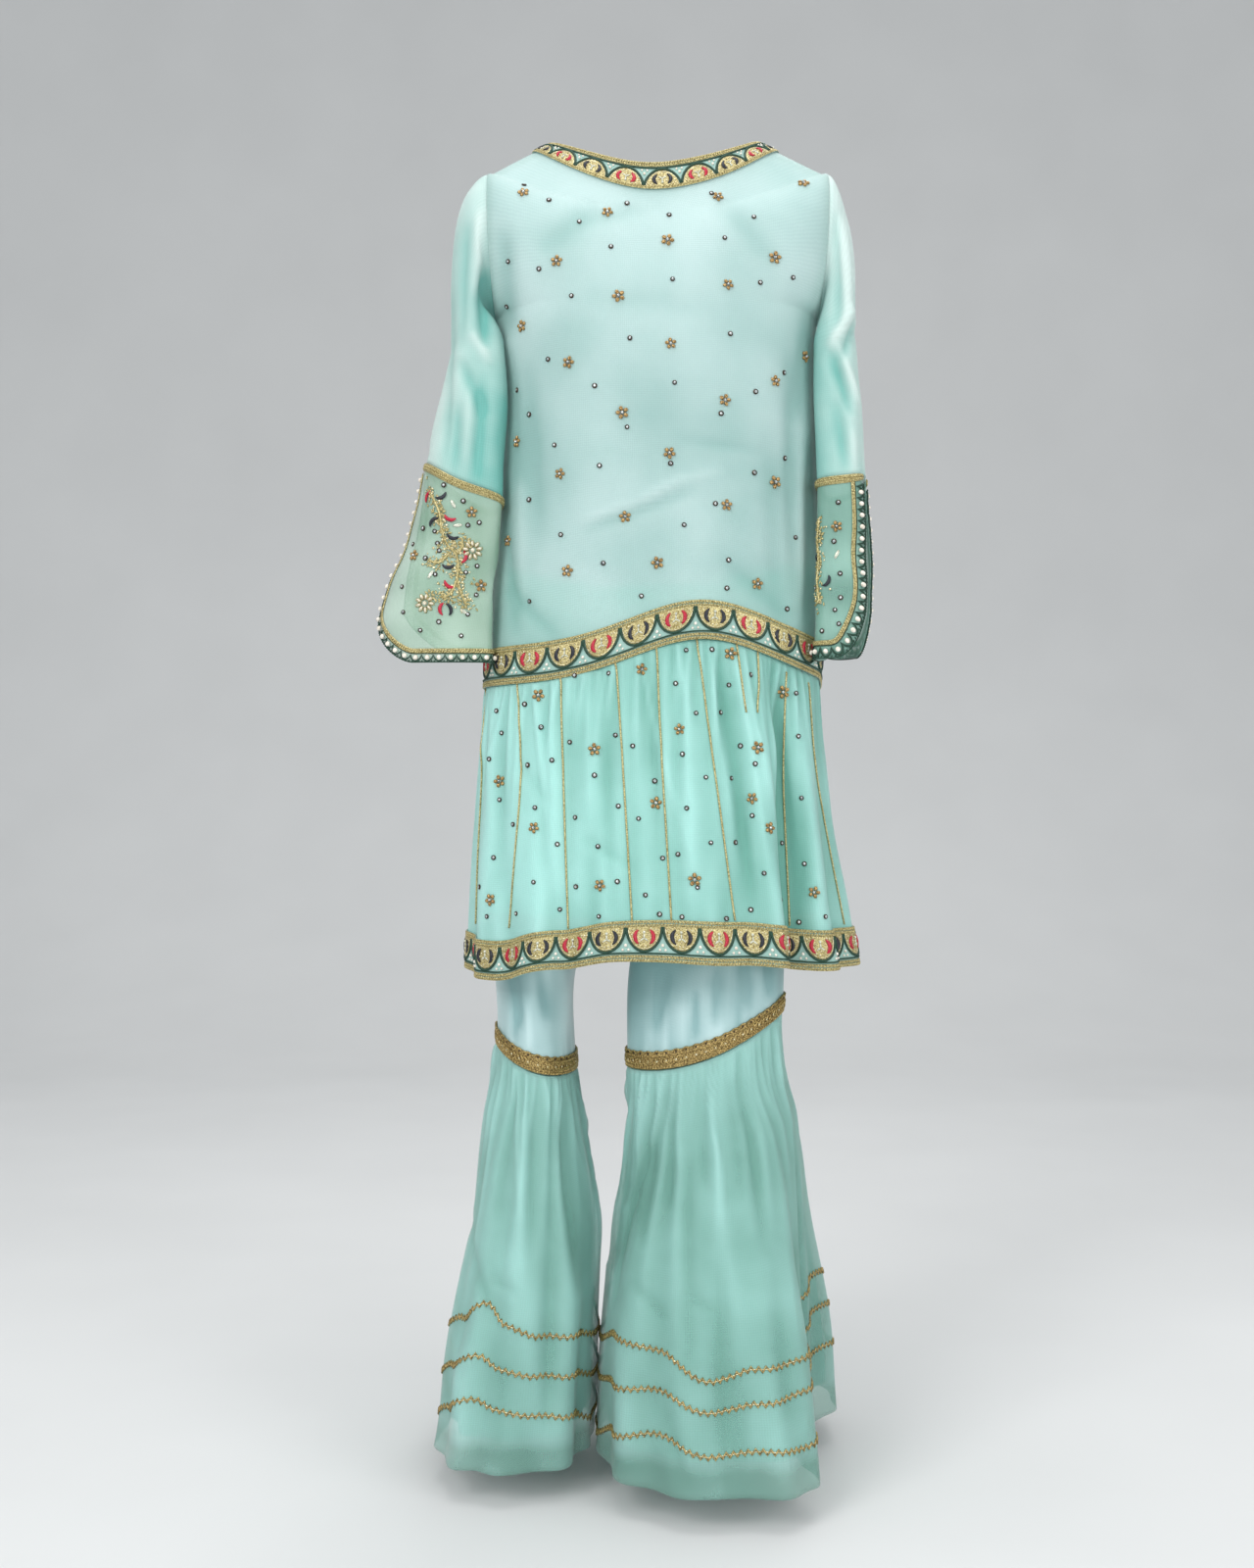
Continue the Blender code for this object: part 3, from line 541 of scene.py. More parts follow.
LINING_WALL = 0.0009
LINING_INSET = 0.0055
LINING_HEM_DROP = 0.856
LINING_SEAM_Y = {"front": -0.0014, "back": 0.0014}
SHADE_DROP, SHADE_BLEND = 0.508, 0.004
SHADE_CURVE, SHADE_MIDDLE_X = 1.2, -0.01
LINING_SLACK = 0.0008
LINING_COLUMNS = 44
LINING_PLACES = np.concatenate((np.linspace(3.0, 2.0, 10), np.linspace(2.0, 1.0, 14)[1:],
                                np.linspace(1.0, 0.45, 18)[1:]))
LINING_DROPS = np.linspace(0.540, LINING_HEM_DROP, 26)
LINING_BRIDGE = 14
LINING_RINGS = table(
    "drop left right front back",
    (540, 180, 178, 126, 99),
    (609, 181, 176, 125, 102),
    (720, 183, 176, 127, 112),
    (856, 188, 184, 132, 128),
)


def lining_point(angle, drop):
    """Points on the outer face of the lining, below the underarms."""
    angle, drop = np.broadcast_arrays(angle, drop)
    across, through = cos_deg(angle), sin_deg(angle)
    width = np.where(across >= 0, smooth(LINING_RINGS, "drop", "right", drop),
                     smooth(LINING_RINGS, "drop", "left", drop))
    depth = smooth(LINING_RINGS, "drop", "front" if through.mean() < 0 else "back", drop)
    squareness = smooth(BODICE_LINES, "place", "round", 0.0)
    return points_of(width * signed_power(across, squareness),
                     depth * signed_power(through, squareness), -drop)


# crepe: a matt, slightly pebbled plain weave, opaque; a pale yoke above, aqua below it
crepe = woven_cloth("lining_crepe_woven", "E6E6F2", "93E6DC", roughness=0.7, sheen=0.15)

for half in HALVES:
    upper = moved_out(half_grid(half, bodice_point, LINING_PLACES, LINING_COLUMNS), -LINING_INSET)
    at_seam = (LINING_PLACES <= 1) | (LINING_PLACES >= 2)
    for column in (0, -1):
        upper[at_seam, column, 1] = LINING_SEAM_Y[half]
    lower = half_grid(half, lining_point, LINING_DROPS, LINING_COLUMNS)
    shares = np.linspace(0, 1, LINING_BRIDGE)[1:-1, None, None]
    slip = np.concatenate((upper, upper[-1] * (1 - shares) + lower[0] * shares, lower))
    fade = np.clip(np.linspace(0, 5, len(slip)), 0, 1)[:, None]
    fade = fade * np.sin(np.linspace(0, pi, LINING_COLUMNS + 1)) ** 0.5
    slip = moved_out(slip, -LINING_SLACK * fade * (1 + wander(slip[..., 0], slip[..., 2], 0.13, 9)))
    yoke_edge = SHADE_DROP - SHADE_CURVE * (slip[..., 0] - SHADE_MIDDLE_X) ** 2
    tone = np.clip((-slip[..., 2] - yoke_edge) / SHADE_BLEND, -1, 1)
    piece = make_cloth("slip_" + half, slip, crepe, wall=LINING_WALL, tone=tone)
    own_piece(piece, "pale_crepe_lining", "bodice_lining_" + half)

# ---- Flowers and stones on the bodice ----------------------------------------------------
# Five-petal flowers of bronze cut beads, each round a small stone, and flat-backed crystals
# in dark metal cups. Each is sewn on by hand, in loose slanting rows.

Panel = namedtuple("Panel", "points facing closed")
Shape = namedtuple("Shape", "corners loops totals finish")
SPOT = "x drop"
BODICE_FLOWERS = table(
    SPOT,
    (-143, 76), (-52, 103), (67, 83), (161, 62), (-106, 158), (12, 138), (127, 153), (-40, 201),
    (76, 186), (-144, 222), (-93, 269), (15, 253), (163, 249), (72, 311), (127, 286), (-36, 325),
    (-150, 344), (-102, 386), (14, 367), (127, 393), (-33, 434), (74, 421), (-160, 451), (-94, 490),
    (1, 483), (107, 503),
)
BODICE_STONES = table(
    SPOT,
    (-31, 92), (14, 107), (60, 79), (105, 108), (-143, 64), (-115, 87), (-82, 114), (73, 134),
    (-125, 165), (-159, 152), (-48, 145), (-90, 198), (17, 183), (111, 181), (147, 172), (-162, 195),
    (-28, 247), (78, 240), (-115, 263), (-65, 296), (19, 294), (-150, 288), (137, 275), (105, 300),
    (-136, 318), (-31, 340), (68, 325), (-108, 355), (-60, 380), (15, 378), (138, 366), (104, 385),
    (62, 420), (-136, 410), (-101, 451), (29, 443), (150, 450), (-56, 483), (76, 479), (-16, 518),
    (74, 509), (-135, 520), (140, 528),
)


def panel_of(points, closed=False):
    """A grid of points with its outward directions."""
    return Panel(points, outward(points, closed), closed)


def sample(grid, row, column, closed=False):
    """Values of a grid at fractional rows and columns."""
    rows, columns = grid.shape[:2]
    row, column = np.broadcast_arrays(np.clip(row, 0, rows - 1), column)
    column = np.mod(column, columns) if closed else np.clip(column, 0, columns - 1)
    top = np.minimum(row.astype(int), rows - 2)
    first = column.astype(int) % columns if closed else np.minimum(column.astype(int), columns - 2)
    second = (first + 1) % columns
    down, along = (row - top)[..., None], (column - first)[..., None]
    upper = grid[top, first] * (1 - along) + grid[top, second] * along
    lower = grid[top + 1, first] * (1 - along) + grid[top + 1, second] * along
    return upper * (1 - down) + lower * down


def on_cloth(panel, row, column, lift=0.0):
    """Points on a panel, or lifted out from it, at fractional rows and columns."""
    base = sample(panel.points, row, column, panel.closed)
    facing = sample(panel.facing, row, column, panel.closed)
    return base + facing * np.asarray(lift)[..., None]


def unit(vectors):
    """The same directions with a length of one."""
    return vectors / np.maximum(np.linalg.norm(vectors, axis=-1, keepdims=True), 1e-9)


def axes_at(panel, row, column):
    """Directions along the cloth, up it and out of it."""
    facing = unit(sample(panel.facing, row, column, panel.closed))
    ahead = sample(panel.points, row, column + 0.5, panel.closed)
    behind = sample(panel.points, row, column - 0.5, panel.closed)
    up = unit(np.cross(facing, ahead - behind))
    return np.cross(up, facing), up, facing


def seen_at(panel, spots):
    """Rows and columns of the front of a panel nearest to spots."""
    flat = np.stack((panel.points[..., 0], -panel.points[..., 2]), -1)
    behind = panel.facing[..., 1] > 0
    places = []
    for spot in spots:
        gap = ((flat - np.array(spot)) ** 2).sum(-1) + behind
        row, column = np.unravel_index(gap.argmin(), gap.shape)
        row = min(max(row, 1), flat.shape[0] - 2)
        column = min(max(column, 1), flat.shape[1] - 2)
        slopes = np.stack((flat[row + 1, column] - flat[row - 1, column],
                           flat[row, column + 1] - flat[row, column - 1]), 1) / 2
        step = np.linalg.lstsq(slopes, np.array(spot) - flat[row, column], rcond=None)[0]
        places.append((row, column) + np.clip(step, -1.5, 1.5))
    return np.array(places).T


def shape_of(piece, finish=0):
    """A small modelled shape as plain arrays, for copying; its object is removed."""
    mesh = piece.data
    corners = np.array([corner.co[:] for corner in mesh.vertices])
    loops = np.array([loop.vertex_index for loop in mesh.loops])
    totals = np.array([face.loop_total for face in mesh.polygons])
    bpy.data.objects.remove(piece)
    return Shape(corners, loops, totals, np.full(len(totals), finish))


def finished(shape, finish):
    """A shape with one finish number all over."""
    return shape._replace(finish=np.full(len(shape.totals), finish))


def together(shapes):
    """Several shapes as one."""
    starts = np.cumsum([0] + [len(shape.corners) for shape in shapes[:-1]])
    return Shape(np.concatenate([shape.corners for shape in shapes]),
                 np.concatenate([shape.loops + start for shape, start in zip(shapes, starts)]),
                 np.concatenate([shape.totals for shape in shapes]),
                 np.concatenate([shape.finish for shape in shapes]))


def copies(shape, world):
    """One shape from many placed copies, given their corners by copy."""
    count, corners = world.shape[:2]
    loops = shape.loops[None] + corners * np.arange(count)[:, None]
    return Shape(world.reshape(-1, 3), loops.ravel(), np.tile(shape.totals, count),
                 np.tile(shape.finish, count))


def turned_shape(shape, angle, push=0.0):
    """A shape pushed along X and then turned about Z."""
    x, y, z = (shape.corners + (push, 0, 0)).T
    corners = np.stack((x * np.cos(angle) - y * np.sin(angle),
                        x * np.sin(angle) + y * np.cos(angle), z), -1)
    return shape._replace(corners=corners)


def laid(shape, panel, row, column, turn=0.0, size=1.0):
    """Copies of a small shape on a panel: its X runs along the cloth, Y up it and Z out of it."""
    row, column, turn, size = np.broadcast_arrays(np.atleast_1d(row), column, turn, size)
    along, up, facing = axes_at(panel, row, column)
    cosine, sine = np.cos(turn)[:, None], np.sin(turn)[:, None]
    frames = np.stack((along * cosine + up * sine, up * cosine - along * sine, facing), 1)
    local = shape.corners[None] * size[:, None, None]
    world = on_cloth(panel, row, column)[:, None] + np.einsum("nkc,ncd->nkd", local, frames)
    return copies(shape, world)


def make_trim(name, shapes, materials):
    """One object of joined small shapes, with a material for each finish number."""
    whole = together(shapes)
    mesh = bpy.data.meshes.new(name)
    mesh.vertices.add(len(whole.corners))
    mesh.vertices.foreach_set("co", whole.corners.ravel())
    mesh.loops.add(len(whole.loops))
    mesh.loops.foreach_set("vertex_index", whole.loops.astype(np.int32))
    mesh.polygons.add(len(whole.totals))
    starts = np.concatenate(((0,), np.cumsum(whole.totals)[:-1]))
    mesh.polygons.foreach_set("loop_start", starts.astype(np.int32))
    for material in materials:
        mesh.materials.append(material)
    mesh.polygons.foreach_set("material_index", whole.finish.astype(np.int32))
    mesh.update(calc_edges=True)
    mesh.shade_smooth()
    piece = bpy.data.objects.new(name, mesh)
    scene.collection.objects.link(piece)
    return piece


def bead(half_length, half_width, height, segments=6, rings=4, finish=0):
    """An oval bead lying along X, half sunk in the cloth."""
    bpy.ops.object.select_all(action="DESELECT")
    bpy.ops.mesh.primitive_uv_sphere_add(segments=segments, ring_count=rings, radius=1.0)
    piece = bpy.context.object
    bpy.ops.object.mode_set(mode="EDIT")
    bpy.ops.transform.resize(value=(half_length, half_width, height))
    bpy.ops.transform.translate(value=(0, 0, height * 0.55))
    bpy.ops.object.mode_set(mode="OBJECT")
    return shape_of(piece, finish)


def stone_in_cup(radius, height):
    """A flat-backed crystal standing in a metal cup: finish 0 the cup, 1 the stone."""
    bpy.ops.object.select_all(action="DESELECT")
    bpy.ops.mesh.primitive_cylinder_add(
        vertices=10, radius=radius, depth=height, location=(0, 0, height / 2))
    piece = bpy.context.object
    bpy.ops.object.transform_apply(location=True)
    for face in piece.data.polygons:
        face.select = face.normal.z > 0.9
    for edge in piece.data.edges:
        edge.select = False
    bpy.ops.object.mode_set(mode="EDIT")
    bpy.ops.mesh.select_mode(type="FACE")
    bpy.ops.mesh.inset(thickness=radius * 0.36)
    bpy.ops.mesh.extrude_region_move(TRANSFORM_OT_translate={"value": (0, 0, height * 0.45)})
    bpy.ops.transform.resize(value=(0.55, 0.55, 1))
    bpy.ops.object.mode_set(mode="OBJECT")
    is_stone = [face.center.z > height * 1.02 for face in piece.data.polygons]
    shape = shape_of(piece)
    return shape._replace(finish=np.array(is_stone, int))


def grained(name, light, deep_and_shaded, size, bump=0.0002, **sockets):
    """A finish in two tones that change over a size in metres, with a fine relief; the deep tone lies
    in the relief's low spots as painted shade, the pale tone on its tops as painted highlight.
    """
    material, tree, shader = new_material(name, **sockets)
    place = add_node(tree, "ShaderNodeTexCoord")
    grain = add_node(tree, "ShaderNodeTexNoise", {"Scale": 1 / size, "Detail": 3.0},
                     {"Vector": place.outputs["Object"]})
    spread = add_node(tree, "ShaderNodeMapRange", {"From Min": 0.35, "From Max": 0.65},
                      {"Value": grain.outputs["Fac"]})
    # the same noise as the relief: painted shade in its hollows, painted highlight on its tops
    tone = add_node(tree, "ShaderNodeMix", {"A": linear(deep_and_shaded), "B": linear(light)},
                    {"Factor": spread.outputs["Result"]}, data_type="RGBA")
    tree.links.new(tone.outputs["Result"], shader.inputs["Base Color"])
    relief = add_node(tree, "ShaderNodeBump", {"Strength": 0.6, "Distance": bump},
                      {"Height": grain.outputs["Fac"]})
    tree.links.new(relief.outputs["Normal"], shader.inputs["Normal"])
    return material


# cut glass beads, bronze lined: warm brown, with painted highlights as small bright facets
bronze_beads = grained("bronze_cut_beads", "C8A56C", "664722", 0.0014, 0.0005,
                       Metallic=0.5, Roughness=0.28)
# oxidised brass cups, pressed: nearly black, with a dull shine
oxidised_cup = grained("oxidised_brass_pressed", "5A4A3C", "1E1814", 0.0012, Metallic=0.6,
                       Roughness=0.4)
# foil-backed crystal, cut: grey-white, with bright and dark flecks that are painted glints of its
# facets
crystal = grained("foil_backed_crystal_cut", "F2F5F4", "56646A", 0.0016, 0.0005,
                  Metallic=0.5, Roughness=0.12, Coat_Weight=0.8, Coat_Roughness=0.05)


def ring_of(shape, count, reach):
    """Copies of a shape round a middle point, each turned outward and pushed out by the reach."""
    return [turned_shape(shape, 2 * pi * k / count, reach) for k in range(count)]


# beads are given by their half length, half width and height
stone = stone_in_cup(radius=0.0027, height=0.0011)
petal = bead(0.0027, 0.0023, 0.0017)
flower = together(ring_of(petal, 5, 0.0042) + [bead(0.0017, 0.0017, 0.0026, finish=1)])


def scattered(shape, panel, spots, seed):
    """Copies of a shape at spots on the front of a panel, each turned its own way."""
    row, column = seen_at(panel, spots)
    turns = np.random.default_rng(seed).uniform(0, 2 * pi, len(spots))
    sizes = np.random.default_rng(seed + 1).uniform(0.92, 1.10, len(spots))
    return laid(shape, panel, row, column, turns, sizes)


def jewelled(name, panel, flower_spots, stone_spots, seed):
    """The bead flowers and the set stones on the front of a panel, each a trim of its own."""
    flowers = make_trim(name + "_flowers", [scattered(flower, panel, flower_spots, seed)],
                        [bronze_beads, crystal])
    stones = make_trim(name + "_stones", [scattered(stone, panel, stone_spots, seed + 1)],
                       [oxidised_cup, crystal])
    return [own_piece(piece, "zari_border") for piece in (flowers, stones)]


bodice = {half: panel_of(points) for half, points in bodice_panels.items()}
bodice_jewels = jewelled("bodice", bodice["front"], BODICE_FLOWERS, BODICE_STONES, 21)

# ---- Borders at the neck and the waist -----------------------------------------------------
# Ready-made zari borders sewn flat on the chiffon. Gold-filled cups hang side by side between
# two plaited gold braids, each with a pair of satin crescents, red and black by turns.

BORDER_LIFT = 0.0007
BORDER_WALL = 0.0006
BORDER_HEIGHT = 0.041
CUP_PITCH = 0.040
BRAID_WIDTH = 0.0066
CUP_TOP, CUP_DEPTH = 0.0345, 0.0235
KNOT_PITCH = 0.0030
KNOT_SLANT = 0.62
CORD_STEP = 0.004
GREEN_CORD_HEIGHT = 0.0085
CRESCENT_REACH = 0.0098
Band = namedtuple("Band", "panel top bottom run height turned")
ZARI, GREEN, RED, BLACK, PEARL, SILVER, GILT = range(7)


def band_on(points, height, turned=False):
    """A border's own strip of cloth, from the rows of the panel under it."""
    strip = moved_out(points, BORDER_LIFT + BORDER_WALL)
    return Band(panel_of(strip), 0, len(strip) - 1, lengths(strip, 1), height, turned)


def on_band(band, along, up):
    """Rows and columns of places given along a border and up from its lower edge."""
    if band.turned:
        along, up = band.run[-1] - along, band.height - up
    column = np.interp(along, band.run, np.arange(len(band.run)))
    return band.bottom - (band.bottom - band.top) * up / band.height, column


def sewn(shape, band, along, up=0.0, turn=0.0, size=1.0, finish=None):
    """Copies of a small shape bent onto a border, at places along it and up from its edge."""
    along, up, turn, size = (value[:, None] for value in np.broadcast_arrays(
        np.atleast_1d(along), up, turn, size))
    x, y, z = shape.corners.T
    sideways = (x * np.cos(turn) - y * np.sin(turn)) * size + along
    upward = (x * np.sin(turn) + y * np.cos(turn)) * size + up
    row, column = on_band(band, sideways, upward)
    made = copies(shape, on_cloth(band.panel, row, column, z * size))
    return made if finish is None else finished(made, finish)


def corded(panel, row, column, radius, finish=0, sides=6):
    """A round cord lying along a line of places on a panel, closed at its ends."""
    radius = np.broadcast_to(radius, np.shape(row))
    centre = on_cloth(panel, row, column, radius * 0.7)
    facing = unit(sample(panel.facing, row, column, panel.closed))
    across = unit(np.cross(np.gradient(centre, axis=0), facing))
    angle = np.linspace(0, 2 * pi, sides, endpoint=False)[None, :, None]
    ring = np.cos(angle) * facing[:, None] + np.sin(angle) * across[:, None]
    corners = centre[:, None] + radius[:, None, None] * ring
    count = len(centre)
    index = np.arange(count * sides).reshape(count, sides)
    beside = np.roll(index, -1, axis=1)
    walls = np.stack((index[:-1], beside[:-1], beside[1:], index[1:]), -1).reshape(-1)
    loops = np.concatenate((walls, index[0, ::-1], index[-1]))
    totals = np.concatenate((np.full((count - 1) * sides, 4), (sides, sides)))
    return Shape(corners.reshape(-1, 3), loops, totals, np.full(len(totals), finish))


def cord_on(band, along, up, radius, finish=0, sides=6):
    """A cord on a border, through places along it and up from its lower edge."""
    along, up = np.broadcast_arrays(along, up)
    row, column = on_band(band, along, up)
    return corded(band.panel, row, column, radius, finish, sides)


def places_along(length):
    """Places along a border at which a straight cord is laid."""
    return np.linspace(0, length, int(length / CORD_STEP))


def braid_on(band, low, high, finish=ZARI):
    """A plaited braid: two rows of slanting knots on a padded tape, from low to high."""
    length, rows = band.run[-1], (low + (high - low) * 0.28, low + (high - low) * 0.72)
    along = np.arange(KNOT_PITCH / 2, length, KNOT_PITCH)
    knots = [sewn(knot, band, along, rows[0], KNOT_SLANT, finish=finish),
             sewn(knot, band, along + KNOT_PITCH / 4, rows[1], -KNOT_SLANT, finish=finish)]
    line = places_along(length)
    edges = [cord_on(band, line, place, 0.0006, finish, 4) for place in (low + 0.0004, high - 0.0004)]
    return knots + edges


def filled_cup(half_width, depth, pad):
    """A padded half-oval of laid gold thread, hanging from its straight top edge."""
    reach = np.array([1.0, 0.97, 0.80, 0.50, 0.20])[:, None]
    height = np.array([-0.0002, pad * 0.6, pad, pad, pad])[:, None]
    turn = np.linspace(pi, 2 * pi, 15)[None, :]
    corners = points_of(half_width * reach * np.cos(turn), depth * reach * np.sin(turn), height)
    rings, columns = corners.shape[:2]
    index = np.arange(rings * columns).reshape(rings, columns)
    walls = np.stack((index[:-1, :-1], index[:-1, 1:], index[1:, 1:], index[1:, :-1]), -1)
    loops = np.concatenate((walls.reshape(-1), index[-1]))
    totals = np.concatenate((np.full((rings - 1) * (columns - 1), 4), (columns,)))
    return Shape(corners.reshape(-1, 3), loops, totals, np.zeros(len(totals), int))


def crescent_shape(radius, sweep, thick):
    """A padded satin-stitch crescent bowed towards +X, spun from a small oval section."""
    bpy.ops.object.select_all(action="DESELECT")
    bpy.ops.mesh.primitive_circle_add(vertices=6, radius=thick, fill_type="NGON",
                                      rotation=(pi / 2, 0, 0))
    piece = bpy.context.object
    bpy.ops.object.transform_apply(rotation=True)
    bpy.ops.object.mode_set(mode="EDIT")
    bpy.ops.mesh.select_all(action="SELECT")
    bpy.ops.mesh.spin(steps=6, angle=sweep, center=(-radius, 0, 0), axis=(0, 0, 1))
    bpy.ops.mesh.select_all(action="SELECT")
    bpy.ops.mesh.normals_make_consistent(inside=False)
    bpy.ops.object.mode_set(mode="OBJECT")
    shape = shape_of(piece)
    x, y, z = (shape.corners + (radius, 0, 0)).T
    turn, reach = np.arctan2(y, x), np.hypot(x, y)
    share = turn / turn[np.abs(turn).argmax()]
    slim = np.sin(pi * np.clip(share * 0.92 + 0.04, 0, 1)) ** 0.6
    reach = radius + (reach - radius) * slim
    turn = turn - turn[np.abs(turn).argmax()] / 2
    corners = points_of(reach * np.cos(turn) - radius, reach * np.sin(turn), z * slim * 0.6 + 0.0006)
    return shape._replace(corners=corners)


knot = bead(0.0024, 0.0012, 0.0009, rings=3)
small_knot = bead(0.0014, 0.0008, 0.0008, rings=3)
sequin = bead(0.0012, 0.0012, 0.0005, rings=3)
pearl_bead = bead(0.0020, 0.0020, 0.0019, segments=8, rings=5)
leaf_bead = bead(0.0026, 0.0010, 0.0009)
crescent = crescent_shape(0.0080, radians(118), 0.0024)
trefoil = together([turned_shape(leaf_bead, radians(angle), 0.0022) for angle in (90, 210, 330)])


def embroidered(band, dark_at):
    """The stitching of a border: its braids, cords, cups and their fillings."""
    scale = band.height / BORDER_HEIGHT
    length = band.run[-1]
    pitch = length / max(1, round(length / CUP_PITCH))
    cup = filled_cup(pitch * 0.455, CUP_DEPTH * scale, 0.0009)
    start = dark_at % pitch
    centres = np.arange(start if start > pitch * 0.3 else start + pitch, length - pitch * 0.3, pitch)
    is_dark = np.round((centres - dark_at) / pitch) % 2 == 0
    top = CUP_TOP * scale
    shapes = braid_on(band, 0.0, BRAID_WIDTH * scale)
    shapes += braid_on(band, band.height - BRAID_WIDTH * scale, band.height)
    shapes.append(cord_on(band, places_along(length), GREEN_CORD_HEIGHT * scale, 0.0010, GREEN))
    shapes.append(sewn(cup, band, centres, top, finish=ZARI))
    turn = np.linspace(pi, 2 * pi, 15)
    for centre in centres:
        for reach, radius, finish in ((1.03, 0.0013, GREEN), (0.92, 0.0006, GILT)):
            shapes.append(cord_on(band, centre + pitch * 0.47 * reach * np.cos(turn),
                                  top + CUP_DEPTH * scale * reach * np.sin(turn), radius, finish, 5))
    for reach, count in ((0.80, 12), (0.62, 9), (0.42, 5)):
        turns = np.linspace(pi * 1.05, pi * 1.95, count)
        along = centres[:, None] + pitch * 0.45 * reach * np.cos(turns)
        up = np.broadcast_to(top + CUP_DEPTH * scale * reach * np.sin(turns), along.shape)
        shapes.append(sewn(raised(sequin, 0.0009), band, along.ravel(), up.ravel(), finish=GILT))
    for side, turn in ((-1, pi), (1, 0.0)):
        for dark, finish in ((True, BLACK), (False, RED)):
            chosen = centres[is_dark == dark]
            shapes.append(sewn(raised(crescent, 0.0008), band, chosen + side * CRESCENT_REACH * scale,
                               top - CRESCENT_REACH * scale, turn, scale, finish))
    for lift, size, shape in ((0.0110, 1.0, trefoil), (0.0050, 0.8, pearl_bead)):
        shapes.append(sewn(raised(shape, 0.0009), band, centres, top - lift * scale,
                           size=size * scale, finish=SILVER))
    between = centres[:-1] + pitch / 2
    for side, up, size in ((-0.0030, 0.0120, 0.7), (0.0030, 0.0120, 0.7), (0.0, 0.0165, 0.9)):
        shapes.append(sewn(pearl_bead, band, between + side, up * scale, size=size * scale,
                           finish=PEARL))
    return shapes


def raised(shape, lift):
    """A shape set higher off the cloth."""
    return shape._replace(corners=shape.corners + (0, 0, lift))


# zari: silk wound with gilt strip, couched down; bright gold, with painted shade in the hollows of its
# relief
zari = grained("zari_gilt_thread_couched", "D8CC96", "7C6C38", 0.0013, 0.0006,
               Metallic=0.45, Roughness=0.40)
# gilt sequins, punched: paler and brighter than the thread
gilt_sequins = grained("gilt_sequins_punched", "F2ECCB", "A5935A", 0.0020, Metallic=0.6, Roughness=0.25)
# silk cord, twisted and dyed bottle green
green_silk = grained("green_silk_cord_twisted", "1F4D3A", "0C2A1D", 0.0009, 0.0004, Roughness=0.6)
# satin stitch in rayon: crimson and blue-black, with a soft shine along the thread
red_satin = grained("crimson_rayon_satin_stitch", "C9163A", "8C0C26", 0.0010, 0.0003, Roughness=0.35)
black_satin = grained("black_rayon_satin_stitch", "1D2230", "0B0D14", 0.0010, 0.0003, Roughness=0.35)
# glass pearl, dipped: cream with a clear top coat
glass_pearl = grained("glass_pearl_dipped", "F6F1E6", "D8CDBB", 0.0030, Roughness=0.25, Coat_Weight=0.6)
# silver thread and clear sequins over pale silk
silver_thread = grained("silver_thread_laid", "E6E6D8", "A9AE9A", 0.0012, 0.0003,
                        Metallic=0.35, Roughness=0.3)
border_finishes = [zari, green_silk, red_satin, black_satin, glass_pearl, silver_thread, gilt_sequins]
# border ground: pale teal silk with a close twill, hardly seen between the stitches
border_ground = woven_cloth("border_ground_silk_woven", "A9CDC4", "86AEA4", roughness=0.45,
                            thread=0.0012)


def make_border(name, points, height, dark_x, node, turned=False):
    """A border's ground and its stitching, laid on rows of a panel; dark_x is a black pair."""
    band = band_on(points, height, turned)
    ground = make_cloth(name + "_ground", band.panel.points, border_ground, wall=BORDER_WALL)
    middle = band.panel.points[len(points) // 2]
    dark_at = np.interp(dark_x, middle[:, 0], band.run) if middle[0, 0] < middle[-1, 0] else 0.02
    if turned:
        dark_at = band.run[-1] - dark_at
    stitching = make_trim(name, embroidered(band, dark_at), border_finishes)
    own_piece(ground, "zari_border", node)
    own_piece(stitching, "zari_border")
    return [ground, stitching]


neck_top_rows = slice(0, NECK_BORDER_ROWS)
waist_rows = slice(-WAIST_BORDER_ROWS, None)
bodice_trims = {}
for half, points in bodice_panels.items():
    bodice_trims[half] = make_border("neck_border_" + half + "_zari", points[neck_top_rows], 0.038,
                                     0.007, "neck_border_" + half, turned=True)
    bodice_trims[half] += make_border("waist_border_" + half + "_zari", points[waist_rows],
                                      BORDER_HEIGHT, -0.019, "waist_border_" + half)
bodice_trims["front"] += bodice_jewels

# ---- Gathered skirt -----------------------------------------------------------------------
# Two straight lengths of chiffon, gathered by hand into the waist seam. They fall in soft
# uneven folds, one of them deep, to the right of the front.

WAIST_GATHERS = {"front": 62, "back": 56}
SKIRT_COLUMNS = {"front": 216, "back": 140}
SKIRT_LENGTH = 0.31
HEM_BORDER_HEIGHT = 0.041
HEM_BORDER_ROWS = 9
FOLD_GROWTH = 0.8
SKIRT_GATHER_DEPTH, SKIRT_GATHER_REACH = 0.0034, 0.110
SKIRT_RIPPLE = 0.0016
# depths of gather, crease and large fold that change the tone by one, as painted light and shade
GATHER_SHADE, CREASE_SHADE, LARGE_FOLD_SHADE = 0.0045, 0.006, 0.018
# painted light over the left of the skirt, painted shade over its right
PAINTED_LIGHT_LEFT, PAINTED_SHADE_RIGHT = 0.80, 0.25
SKIRT_RINGS = table(
    "fall* left right front back",
    (0, 190, 184, 134, 110),
    (0.25, 195, 187, 141, 118),
    (0.6, 203, 201, 151, 133),
    (1, 207, 221, 162, 150),
)
FOLD = "angle* out"
SKIRT_FOLDS = table(
    FOLD,
    (8, -4), (20, 7), (33, -7), (45, 6), (60, -5), (72, 7), (86, -7), (99, 6), (115, -6), (128, 8),
    (143, -5), (156, 6), (170, -4), (184, 3), (196, -4), (208, 6), (221, -5), (234, 4), (246, -5),
    (258, 4), (270, -4), (282, 4), (292, -2), (301, 12), (312, -27), (324, 8), (334, -6), (345, 7),
    (357, 2),
)
SKIRT_HEM = table(
    "angle* drop",
    (0, 912), (90, 917), (180, 918), (215, 924), (243, 908), (262, 898), (290, 903), (322, 913),
)
